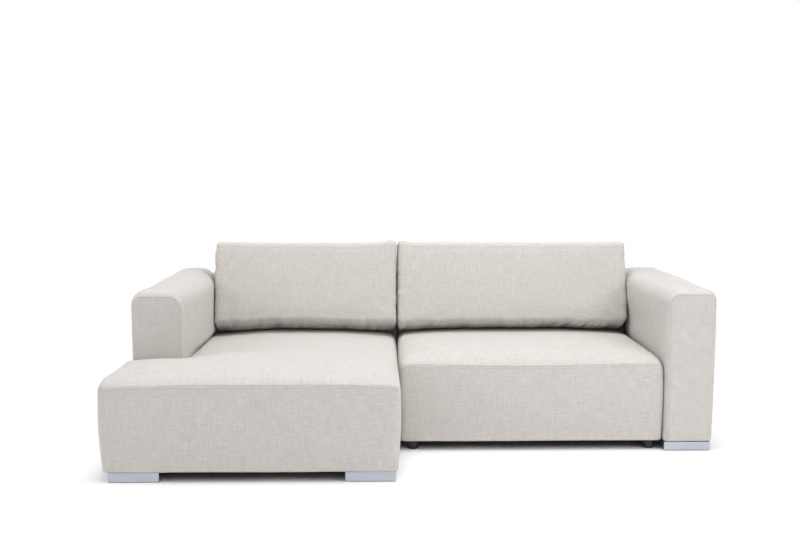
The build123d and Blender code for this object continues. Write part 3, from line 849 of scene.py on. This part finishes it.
def ringed_form(name, section, place, ends, depth, step, bulge, material, seam_angle=90):
    """Sew a form of rings along its length: wrap panel, two end panels and the seams round them.

    section(along, draw, inside) gives the outline's four sides, drawn in by a share at a rounded end
    and by a further distance inside the end panel.
    place(outline, along) puts outline points in the room.
    """
    cover = Cover()
    first, last = ends
    angles = np.radians(END_ANGLES)
    opening = [(first, 1.0, inside) for inside in END_RINGS[::-1]]
    opening += [(first + depth * (1 - math.sin(a)), 1 - math.cos(a), 0.0) for a in angles[::-1]]
    between = [(along, 0.0, 0.0) for along in evenly(first + depth, last - depth, step)[1:-1]]
    closing = [(last - depth * (1 - math.sin(a)), 1 - math.cos(a), 0.0) for a in angles]
    closing += [(last, 1.0, inside) for inside in END_RINGS]
    rings = []
    for along, draw, inside in opening + between + closing:
        sides = section(along, draw, inside)
        loop = np.vstack([side[:-1] for side in sides] + [sides[0][:1]])
        rings.append(place(loop, np.full(len(loop), along)))
    wrap = np.array(rings)
    middle = len(wrap) // 2
    weave = np.meshgrid(run_length(wrap[:, wrap.shape[1] // 2]), run_length(wrap[middle]), indexing="ij")
    cover.panel(wrap, np.stack(weave, -1))
    for along, side in ((first, -1), (last, 1)):
        grid, s, t = fill_end(section(along, 1.0, END_RINGS[-1]))
        pillow = (1 - (2 * s - 1) ** 2) * (1 - (2 * t - 1) ** 2)
        level = along + side * bulge[side > 0] * np.sqrt(np.clip(pillow, 0, 1))
        panel = place(grid.reshape(-1, 2), level.ravel()).reshape(*grid.shape[:2], 3)
        cover.panel(panel, grid + END_SHIFT * side)
    seam = len(opening) - 1 - END_ANGLES.index(seam_angle)
    cover.seam(wrap[seam])
    cover.seam(wrap[len(wrap) - 1 - seam])
    return cover.make(name, material)


def arm_cover(side, material):
    """Arm: wrap panel over the top, and a front panel seamed in behind its rounded edge."""
    low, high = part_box(f"{side}_arm_cover")
    shape = ARMS[side]
    inner_right = side == "left"
    outward_swell, foot_taper, top_crown = 0.004, 0.009, 0.011
    left = low.x - outward_swell if inner_right else low.x
    right = high.x if inner_right else high.x + outward_swell
    middle = (low.y + high.y) / 2

    def section(along, draw, inside):
        seam = shape["front_seam"] if along < middle else ARM_REAR_SEAM
        insets = [inset * draw + inside for inset in seam]
        outer = shape["outer"] + shape["outer_more"] * ease((along - low.y - 0.03) / 0.25)
        tops = (shape["inner"], outer) if inner_right else (outer, shape["inner"])
        radii = (LOW_RADIUS, LOW_RADIUS, *tops)
        return rounded_sides((left, low.z + CLEARANCE), (right, high.z), radii, insets, (12, 42))

    def place(outline, along):
        up = np.clip((outline[:, 1] - low.z) / (high.z - low.z), 0, 1)
        across = (outline[:, 0] - low.x) / (high.x - low.x)
        away = 1 - across if inner_right else across
        inward = 1 if inner_right else -1
        taper = foot_taper * (1 - up) ** 1.4 * away * inward
        # Padding grows behind the front panel and ends before the back
        filled = ease((along - low.y - 0.05) / 0.42)
        padded = filled * (1 - ease((along - 0.42) / 0.08))
        fullness = shape["padded_low"] * ease((outline[:, 1] - 0.345) / 0.06)
        fullness = fullness + shape["padded_high"] * ease((outline[:, 1] - 0.45) / 0.12)
        belly = fullness * padded * (1 - away) ** 2 * inward
        crown = top_crown * filled * (1 - ease((along - high.y + 0.07) / 0.07)) * up**8
        return np.stack((outline[:, 0] + taper + belly, along, outline[:, 1] + crown), 1)

    return ringed_form(
        f"{side}_arm_upholstery", section, place, ends=(low.y, high.y), depth=0.042, step=0.016,
        bulge=(0.003, 0.003), material=material)


def back_cover(side, material):
    """Back: upright below, leaning above, with its end panels seamed in."""
    low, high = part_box(f"{side}_back_cover")
    radii = (LOW_RADIUS, LOW_RADIUS, 0.030, 0.040)
    seam_inset = 0.010

    def section(along, draw, inside):
        insets = [seam_inset * draw + inside] * 4
        return rounded_sides((low.y, low.z + CLEARANCE), (high.y, high.z), radii, insets, (12, 40))

    def place(outline, along):
        y, z = outline[:, 0], outline[:, 1]
        ahead = 1 - (y - low.y) / (high.y - low.y)
        y = y + LEAN * np.maximum(z - KNEE, 0) * ahead
        return np.stack((along, y, z), 1)

    return ringed_form(
        f"{side}_back_upholstery", section, place, ends=(low.x + CLEARANCE, high.x - CLEARANCE),
        depth=0.010, step=0.018, bulge=(0.0, 0.0), material=material)


def cushion_cover(side, form, foot, material):
    """Loose back cushion that stands on its seat and leans on the back."""
    low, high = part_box(f"{side}_cushion_cover")
    shape = CUSHIONS[side]
    on_left = side == "left"
    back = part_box(f"{side}_back_cover")[0].y - 2 * CLEARANCE
    thick, tall, top, behind_fall = 0.186, 0.385, 0.808, 0.034
    # Radii at the front below, back below, back above and front above
    radii = (0.038, 0.020, 0.040, 0.020)
    # Insets of the end seams at the front, back, bottom and top
    seam_insets = (0.024, 0.016, 0.012, 0.011)
    first, last = low.x + shape["ends"][0], high.x + shape["ends"][1]
    middle, half = (first + last) / 2, (last - first) / 2
    gap_end = last if on_left else first

    def section(along, draw, inside):
        insets = [inset * draw + inside for inset in seam_insets]
        return rounded_sides((0.0, 0.0), (thick, tall), radii, insets, (14, 30))

    def lower_edge(x):
        end, deepest, clear = 0.06, 0.009, 0.0015
        resting = foot(np.clip(x, first + end, last - end))
        return np.maximum(resting, foot(np.array([middle])) - deepest) + clear

    def place(outline, along):
        depth, up = outline[:, 0] / thick, outline[:, 1] / tall
        full = 1 - np.clip(abs(along - middle) / half, 0, 1) ** 2.4
        base = lower_edge(along)
        crest = top - 0.004 * full + 0.008 * np.exp(-(((along - gap_end) / 0.05) ** 2))
        # The front's lower edge stands off the seat and curls under
        raised = shape["raised"] + 0.006 * noise(along[:, None], 0.021, 41 + on_left)
        lift = raised * np.clip(1 - depth / 0.8, 0, 1) ** 1.3 * np.clip(1 - up / 0.5, 0, 1) ** 2
        z = base + (crest - base) * up + lift
        if not on_left:
            # The lower outer corner is drawn up
            z = z + 0.036 * (1 - rise(last - along, 0.070)) * np.clip(1 - 1.8 * up, 0, 1) ** 1.5
        y = back + (z - KNEE) * LEAN - thick + outline[:, 0]
        swollen = np.sin(np.pi * np.clip(up, 0, 1) ** 0.62) ** 0.8
        y = y - form.cushion_bulge * (0.35 + 0.65 * full) * (1 - depth) ** 2 * swollen
        z = z - behind_fall * np.clip(depth, 0, 1) * np.clip(up, 0, 1) ** 4
        # The outer end stands a little out of square
        x = along
        if on_left:
            x = x + 0.006 * ease((up - 0.84) / 0.16) * ease(1 - (along - first) / 0.14)
        else:
            x = x + 0.006 * (1 - up) * ease(1 - (last - along) / 0.30)
        return np.stack((x, y, z), 1)

    obj, seams = ringed_form(
        f"{side}_back_cushion", section, place, ends=(first, last), depth=0.030, step=0.011,
        bulge=shape["end_bulges"], material=material, seam_angle=84)
    back_depth, base_height, rim_height = 0.012, 0.006, 0.045
    points = coords(obj.data)
    behind = points[:, 1] > back + (points[:, 2] - KNEE) * LEAN - back_depth
    below = points[:, 2] < lower_edge(points[:, 0]) + base_height
    above = points[:, 2] > top - rim_height
    held = np.union1d(np.concatenate(seams), np.flatnonzero(behind | below | above))
    swell(obj, held, form.cushion_pressure, spare=0.0002, cap=0.0015)
    return obj, seams, lower_edge


# Operators, one for each piece or group of like pieces
def finishes():
    """Cloth and thread, made once and shared by all upholstery."""
    cloth = bpy.context.scene.sofa_cloth
    weave = bpy.data.materials.get("linen_weave") or linen(cloth)
    thread = bpy.data.materials.get("sewing_thread") or sewing_thread(cloth)
    return weave, thread


def front_part(obj, seam, front, sides):
    """Indices of the straight front part of a seam, from left to right."""
    depth = 0.012
    points = coords(obj.data)
    part = [i for i in seam if points[i, 1] < front + depth and sides[0] < points[i, 0] < sides[1]]
    return sorted(part, key=lambda i: points[i, 0])


def front_stitches(name, obj, seam, pitch, thread):
    """Two rows of stitches above and below a front seam."""
    apart = 0.0050
    line = coords(obj.data)[seam]
    for word, lift in (("upper", apart), ("lower", -apart)):
        stitch_row(f"{name}_{word}_stitches", obj, line, (0.0, 0.0, lift), pitch, thread)


def finish_seat(name, obj, seams, held, front, sides, seeds):
    """Fill a sewn seat, stitch its front seam and dress it."""
    form = bpy.context.scene.sofa_form
    swell(obj, held, **SEAT_FILLING)
    refine(obj)
    soften(obj, amount=0.0011, pitch=0.17, seed=seeds[0])
    seam = front_part(obj, seams[0], front, sides)
    sew_seams(obj, [seam], seed=seeds[1])
    front_stitches(name, obj, seam, form.stitch_pitch, finishes()[1])
    dress(obj, SOFA, f"{name}_cover", f"{name}_foam", fill=0.85)


class SOFA_OT_chaise(bpy.types.Operator):
    """Upholster the chaise: L-shaped top panel, walls and a double-stitched front seam"""

    bl_idname = "sofa.chaise"
    bl_label = "Chaise"

    def execute(self, context):
        form = context.scene.sofa_form
        weave, _ = finishes()
        left, right, front, rear, notch_x, notch_y, bottom = chaise_limits()
        left_roll, arm_roll, right_roll, crease, rear_roll = 0.036, 0.045, 0.060, 0.012, 0.020
        xs = lines(
            left + roll_lines(left_roll), evenly(left + left_roll, notch_x, GRID_STEP),
            notch_x + roll_lines(arm_roll), evenly(notch_x + arm_roll, right - right_roll, GRID_STEP),
            right - roll_lines(right_roll))
        ys = lines(
            front + roll_lines(form.front_roll, ROLL_ANGLES),
            evenly(front + form.front_roll, notch_y - crease, GRID_STEP),
            notch_y - roll_lines(crease, CREASE_ANGLES), evenly(notch_y, rear - rear_roll, GRID_STEP),
            rear - roll_lines(rear_roll, CREASE_ANGLES))
        turns = [
            (left, front), (right, front), (right, rear),
            (notch_x, rear), (notch_x, notch_y), (left, notch_y)]
        corners = (
            ((left, front), (1, 1), 0.022), ((right, front), (-1, 1), 0.024),
            ((left, notch_y), (1, -1), 0.012))

        def inside(x, y):
            return (x > notch_x) | (y < notch_y)

        def taper(x, y, away):
            open_left = np.where(y < notch_y, 0.012, 0.0) * np.clip(-away[:, 0], 0, 1)
            open_right = np.where(y < -0.26, 0.009, 0.004) * np.clip(away[:, 0], 0, 1)
            return open_left + open_right + 0.004 * np.clip(-away[:, 1], 0, 1)

        obj, seams = seat_cover(
            "chaise_upholstery", xs, ys, inside, boundary(xs, ys, turns), chaise_height(form), corners,
            bottom, taper, weave)
        held = held_seat(obj, seams, bottom, -0.27, right)
        finish_seat("chaise", obj, seams, held, front, (left + 0.008, right - 0.022), (3, 4))
        return {"FINISHED"}


class SOFA_OT_seat(bpy.types.Operator):
    """Upholster the right seat: crowned top panel, walls and a double-stitched front seam"""

    bl_idname = "sofa.seat"
    bl_label = "Right seat"

    def execute(self, context):
        form = context.scene.sofa_form
        weave, _ = finishes()
        left, right, front, rear, bottom = seat_limits()
        left_roll, right_roll, rear_roll = 0.044, 0.050, 0.020
        xs = lines(
            left + roll_lines(left_roll), evenly(left + left_roll, right - right_roll, GRID_STEP),
            right - roll_lines(right_roll))
        ys = lines(
            front + roll_lines(form.front_roll, ROLL_ANGLES),
            evenly(front + form.front_roll, rear - rear_roll, GRID_STEP),
            rear - roll_lines(rear_roll, CREASE_ANGLES))
        turns = [(left, front), (right, front), (right, rear), (left, rear)]
        corners = (((left, front), (1, 1), 0.024), ((right, front), (-1, 1), 0.024))

        def taper(x, y, away):
            return 0.003 * np.abs(away[:, 0]) + 0.004 * np.clip(-away[:, 1], 0, 1)

        obj, seams = seat_cover(
            "seat_upholstery", xs, ys, lambda x, y: np.ones(x.shape, bool), boundary(xs, ys, turns),
            seat_height(form), corners, bottom, taper, weave)
        held = held_seat(obj, seams, bottom, front, right)
        finish_seat("seat", obj, seams, held, front, (left + 0.020, right - 0.030), (6, 8))
        return {"FINISHED"}


class SOFA_OT_arms(bpy.types.Operator):
    """Upholster both arms: wrap panel, front panel and the seam between them"""

    bl_idname = "sofa.arms"
    bl_label = "Arms"

    def stitches(self, side, obj, seam, pitch, thread):
        """Row of stitches in the front seam, over the top and down the inner side."""
        line = coords(obj.data)[seam]
        middle = line[:, 0].mean()
        inner = line[:, 0] > middle if side == "left" else line[:, 0] < middle
        over = line[:, 2] > line[:, 2].max() - 0.004
        line = line[(over | inner) & (line[:, 2] > line[:, 2].min() + 0.004)]
        stitch_row(f"{side}_arm_stitches", obj, line, (0.0, 0.0, 0.0), pitch, thread)

    def execute(self, context):
        form = context.scene.sofa_form
        weave, thread = finishes()
        for number, side in enumerate(("left", "right")):
            obj, seams = arm_cover(side, weave)
            refine(obj)
            soften(obj, amount=0.0009, pitch=0.15, seed=11 + number)
            sew_seams(obj, seams, plump=0.0, pucker=0.0003, seed=20 + 3 * number)
            self.stitches(side, obj, seams[0], form.stitch_pitch, thread)
            dress(obj, SOFA, f"{side}_arm_cover", f"{side}_arm_foam", fill=0.9)
        return {"FINISHED"}


class SOFA_OT_backs(bpy.types.Operator):
    """Upholster the two backs behind the cushions"""

    bl_idname = "sofa.backs"
    bl_label = "Backs"

    def execute(self, context):
        weave, _ = finishes()
        for number, side in enumerate(("left", "right")):
            obj, seams = back_cover(side, weave)
            refine(obj)
            soften(obj, amount=0.0008, pitch=0.16, seed=31 + number)
            sew_seams(obj, seams, pucker=0.0006, seed=40 + 3 * number)
            dress(obj, SOFA, f"{side}_back_cover", f"{side}_back_foam", fill=0.9)
        return {"FINISHED"}


class SOFA_OT_back_cushions(bpy.types.Operator):
    """Fill and sew the two loose back cushions"""

    bl_idname = "sofa.back_cushions"
    bl_label = "Back cushions"

    def execute(self, context):
        form = context.scene.sofa_form
        weave, _ = finishes()
        rest_y = 0.38
        rests = {"left": chaise_height(form), "right": seat_height(form)}
        for number, (side, height) in enumerate(rests.items()):
            obj, seams, lower_edge = cushion_cover(
                side, form, lambda x: height(x, np.full_like(x, rest_y)), weave)
            refine(obj)
            soften(obj, amount=0.0014, pitch=0.13, seed=51 + number)
            drawn = (lambda x: np.full_like(x, 0.0062)) if side == "left" else (
                lambda x: 0.0050 + 0.0060 * ease((x - 0.45) / 0.30))
            gather(
                obj, lambda x: lower_edge(x) + 0.020, reach=0.020, amount=drawn, pitch=0.011,
                seed=71 + number)
            sew_seams(
                obj, seams, depth=0.0030, width=0.003, plump=0.0006, pucker=0.0028, wave=0.010,
                seed=60 + 3 * number)
            nodes = f"{side}_cushion_cover", f"{side}_cushion_filling"
            dress(obj, f"{side}_back_cushion", *nodes, fill=0.7)
        return {"FINISHED"}


class SOFA_OT_dust_sheets(bpy.types.Operator):
    """Stretch the dark dust sheets under both modules"""

    bl_idname = "sofa.dust_sheets"
    bl_label = "Dust sheets"

    def execute(self, context):
        felt, _ = grained(
            "dust_sheet_felt", (0.030, 0.030, 0.032), (0.010, 0.010, 0.011), grain=900.0, bump=0.0003,
            roughness=0.95)
        *_, notch_y, _ = chaise_limits()
        inset, step = 0.026, 0.03
        arm_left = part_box("left_arm_cover")[0].x
        plans = {
            "chaise_dust_sheet": ("chaise_rear_rail", arm_left + inset, notch_y - inset),
            "seat_dust_sheet": ("seat_rear_rail", None, None),
        }
        for name, (rail, arm_x, arm_y) in plans.items():
            low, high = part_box(name)
            margin = Vector((0.016, 0.016, 0.0))
            low, high = low + margin, high - margin
            xs, ys = evenly(low.x, high.x, step), evenly(low.y, high.y, step)
            if arm_x is not None:
                xs, ys = lines(xs, [arm_x]), lines(ys, [arm_y])
            x, y = np.meshgrid(xs, ys, indexing="ij")
            flat = np.stack((x.ravel(), y.ravel()), 1)
            ripple = 0.00025 * noise(flat, 0.07, 5).reshape(x.shape)
            z = np.full_like(x, (low.z + high.z) / 2) + ripple
            keep = np.ones((len(xs) - 1, len(ys) - 1), bool)
            area = (high.x - low.x) * (high.y - low.y)
            if arm_x is not None:
                keep = (x[:-1, :-1] > arm_x - 1e-4) | (y[1:, 1:] < arm_y + 1e-4)
                area -= (arm_x - low.x) * (high.y - arm_y)
            cover = Cover()
            cover.panel(np.stack((x, y, z), -1), np.stack((x, y), -1), keep)
            obj, _ = cover.make(f"{name}_cloth", felt)
            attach(obj, SOFA)
            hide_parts(name)
        return {"FINISHED"}


def finish_nodes(names, material, bevel=0.0):
    """Give solids of the frame their finish, and soften hard edges that show."""
    for name in names:
        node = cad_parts[name]
        node.data.materials.clear()
        node.data.materials.append(material)
        if bevel:
            weld = node.modifiers.new("join_edges", "WELD")
            weld.merge_threshold = 0.00002
            edge = node.modifiers.new("soft_edges", "BEVEL")
            edge.width = bevel
            edge.segments = 3
            edge.limit_method = "ANGLE"
            edge.angle_limit = math.radians(28)
            edge.harden_normals = True


class SOFA_OT_feet(bpy.types.Operator):
    """Finish the block feet, their dark glide pads, whose near-black felt also paints the contact shadow
    under the feet, and the round feet
    """

    bl_idname = "sofa.feet"
    bl_label = "Feet"

    def execute(self, context):
        blocks = [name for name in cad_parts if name.endswith("_foot")]
        finish_nodes(blocks, satin_chrome(), bevel=0.0011)
        # Glide pads: felt pads made near black so that they also paint the contact shadow under each foot
        felt, _ = grained(
            "glide_felt", (0.060, 0.058, 0.056), (0.022, 0.021, 0.020), grain=700.0, bump=0.0003,
            roughness=0.97)
        finish_nodes(["glide_pads"], felt, bevel=0.0006)
        plastic, _ = grained(
            "black_plastic", (0.018, 0.018, 0.019), (0.009, 0.009, 0.010), grain=420.0, bump=0.0001,
            roughness=0.42)
        finish_nodes(["round_feet"], plastic, bevel=0.0018)
        return {"FINISHED"}


class SOFA_OT_frame(bpy.types.Operator):
    """Finish the timber frame, the elastic straps and the joining plates"""

    bl_idname = "sofa.frame"
    bl_label = "Frame"

    def execute(self, context):
        timber, _ = grained(
            "pale_timber", (0.62, 0.46, 0.29), (0.43, 0.29, 0.165), grain=60.0, bump=0.0004,
            roughness=0.72, scale=(1.0, 1.0, 0.12))
        straps, _ = grained(
            "elastic_webbing", (0.34, 0.32, 0.29), (0.13, 0.12, 0.11), grain=420.0, bump=0.0005,
            roughness=0.9)
        steel, shader = grained(
            "zinc_steel", (0.62, 0.63, 0.64), (0.45, 0.46, 0.48), grain=180.0, bump=0.0001, roughness=0.42)
        shader.inputs["Metallic"].default_value = 1.0
        timber_words = ("rail", "panel", "panels", "boards", "ribs", "stretcher", "blocks")
        finish = {**dict.fromkeys(timber_words, timber), "straps": straps, "plates": steel}
        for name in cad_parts:
            word = name.rsplit("_", 1)[-1]
            if word in finish:
                finish_nodes([name], finish[word])
        return {"FINISHED"}


def lamp(name, place, aim, power, size):
    """Round soft lamp that points at a place."""
    light = bpy.data.lights.new(name, "AREA")
    light.shape = "DISK"
    light.size = size
    light.energy = power
    obj = bpy.data.objects.new(name, light)
    obj.location = place
    obj.rotation_euler = (Vector(aim) - Vector(place)).to_track_quat("-Z", "Y").to_euler()
    bpy.context.scene.collection.objects.link(obj)


def seen_white(nodes):
    """1 for rays that show the surroundings: camera, glossy and transmitted rays."""
    rays = nodes.add("ShaderNodeLightPath")
    shown = nodes.math("MAXIMUM", rays.outputs["Is Camera Ray"], rays.outputs["Is Glossy Ray"])
    return nodes.math("MAXIMUM", shown, rays.outputs["Is Transmission Ray"])


class SOFA_OT_stage(bpy.types.Operator):
    """Set the white floor, even studio light and the camera"""

    bl_idname = "sofa.stage"
    bl_label = "Stage"

    def execute(self, context):
        scene, studio = context.scene, context.scene.sofa_studio
        scene.view_settings.view_transform = "Standard"
        world = bpy.data.worlds.new("studio")
        world.use_nodes = True
        scene.world = world
        nodes = Nodes(world.node_tree)
        even = world.node_tree.nodes["Background"]
        even.inputs["Color"].default_value = (1, 1, 1, 1)
        sky = nodes.add("ShaderNodeSeparateXYZ")
        nodes.wire(nodes.add("ShaderNodeTexCoord").outputs["Generated"], sky.inputs[0])
        high = nodes.span(sky.outputs[2], 0.0, 0.5, 0.12 * studio.ambient, 1.25 * studio.ambient)
        nodes.wire(high, even.inputs["Strength"])
        white = nodes.add("ShaderNodeBackground")
        white.inputs["Color"].default_value = (1, 1, 1, 1)
        white.inputs["Strength"].default_value = 1.0
        choice = nodes.add("ShaderNodeMixShader")
        nodes.wire(seen_white(nodes), choice.inputs[0])
        nodes.wire(even.outputs[0], choice.inputs[1])
        nodes.wire(white.outputs[0], choice.inputs[2])
        nodes.wire(choice.outputs[0], world.node_tree.nodes["World Output"].inputs["Surface"])
        self.floor()
        lamp("top_lamp", (0.4, -0.6, 3.6), (0.1, -0.2, 0.3), studio.top_lamp, size=3.0)
        lamp("side_lamp", (3.0, -3.2, 2.4), (0.2, -0.2, 0.4), studio.side_lamp, size=1.8)
        lamp("fill_lamp", (-4.2, -1.0, 2.2), (0.6, 0.0, 0.4), studio.fill_lamp, size=2.2)
        lens = bpy.data.cameras.new("camera")
        lens.lens = studio.lens
        lens.sensor_width = 36
        lens.sensor_fit = "HORIZONTAL"
        lens.clip_end = 200
        camera = bpy.data.objects.new("camera", lens)
        camera.location = studio.camera
        camera.rotation_euler = (math.pi / 2 - studio.tilt, 0, -studio.turn)
        scene.collection.objects.link(camera)
        scene.camera = camera
        return {"FINISHED"}

    def floor(self):
        """Wide floor that is plain white away from the sofa and takes its shadow close by."""
        mesh = bpy.data.meshes.new("floor")
        reach = 60.0
        mesh.from_pydata([(-reach, -reach, 0), (reach, -reach, 0), (reach, reach, 0), (-reach, reach, 0)],
                         [], [(0, 1, 2, 3)])
        obj = bpy.data.objects.new("floor", mesh)
        bpy.context.scene.collection.objects.link(obj)
        material, tree, shader = new_material("white_floor")
        mesh.materials.append(material)
        nodes = Nodes(tree)
        place = nodes.add("ShaderNodeTexCoord").outputs["Object"]
        grit = nodes.noise(place, 3.0)
        paint = mixed(nodes, grit, (0.895, 0.895, 0.895, 1), (0.905, 0.905, 0.905, 1))
        nodes.wire(paint, shader.inputs["Base Color"])
        shader.inputs["Roughness"].default_value = 0.9
        shader.inputs["Specular IOR Level"].default_value = 0.1
        parts = nodes.add("ShaderNodeSeparateXYZ")
        nodes.wire(place, parts.inputs[0])
        squares = []
        for k in (0, 1):
            past = nodes.math("SUBTRACT", nodes.math("ABSOLUTE", parts.outputs[k]), cad_box[1][k])
            squares.append(nodes.math("POWER", nodes.math("MAXIMUM", past, 0.0), 2.0))
        distance = nodes.math("SQRT", nodes.math("ADD", *squares))
        shadow_start, shadow_end = 0.004, 0.10
        away = nodes.span(distance, shadow_start, shadow_end)
        glow = nodes.add("ShaderNodeEmission")
        glow.inputs["Strength"].default_value = 1.0
        choice = nodes.add("ShaderNodeMixShader")
        nodes.wire(nodes.math("MULTIPLY", away, seen_white(nodes)), choice.inputs[0])
        nodes.wire(shader.outputs[0], choice.inputs[1])
        nodes.wire(glow.outputs[0], choice.inputs[2])
        nodes.wire(choice.outputs[0], tree.nodes["Material Output"].inputs["Surface"])


class SOFA_PT_pieces(bpy.types.Panel):
    """Sidebar panel with the sofa's pieces and its stage"""

    bl_idname = "SOFA_PT_pieces"
    bl_label = "Corner sofa"
    bl_space_type = "VIEW_3D"
    bl_region_type = "UI"
    bl_category = "Sofa"

    def draw(self, context):
        for operator in OPERATORS:
            self.layout.operator(operator.bl_idname)


GROUPS = {"sofa_cloth": SofaCloth, "sofa_form": SofaForm, "sofa_studio": SofaStudio}
OPERATORS = (
    SOFA_OT_stage, SOFA_OT_chaise, SOFA_OT_seat, SOFA_OT_arms, SOFA_OT_backs, SOFA_OT_back_cushions,
    SOFA_OT_dust_sheets, SOFA_OT_feet, SOFA_OT_frame)


def register():
    for name, group in GROUPS.items():
        bpy.utils.register_class(group)
        setattr(bpy.types.Scene, name, bpy.props.PointerProperty(type=group))
    for cls in (*OPERATORS, SOFA_PT_pieces):
        bpy.utils.register_class(cls)


def unregister():
    for cls in (SOFA_PT_pieces, *reversed(OPERATORS)):
        bpy.utils.unregister_class(cls)
    for name, group in GROUPS.items():
        delattr(bpy.types.Scene, name)
        bpy.utils.unregister_class(group)


def main():
    register()
    bpy.ops.sofa.stage()
    bpy.ops.sofa.chaise()
    bpy.ops.sofa.seat()
    bpy.ops.sofa.arms()
    bpy.ops.sofa.backs()
    bpy.ops.sofa.back_cushions()
    bpy.ops.sofa.dust_sheets()
    bpy.ops.sofa.feet()
    bpy.ops.sofa.frame()


if __name__ == "__main__":
    main()
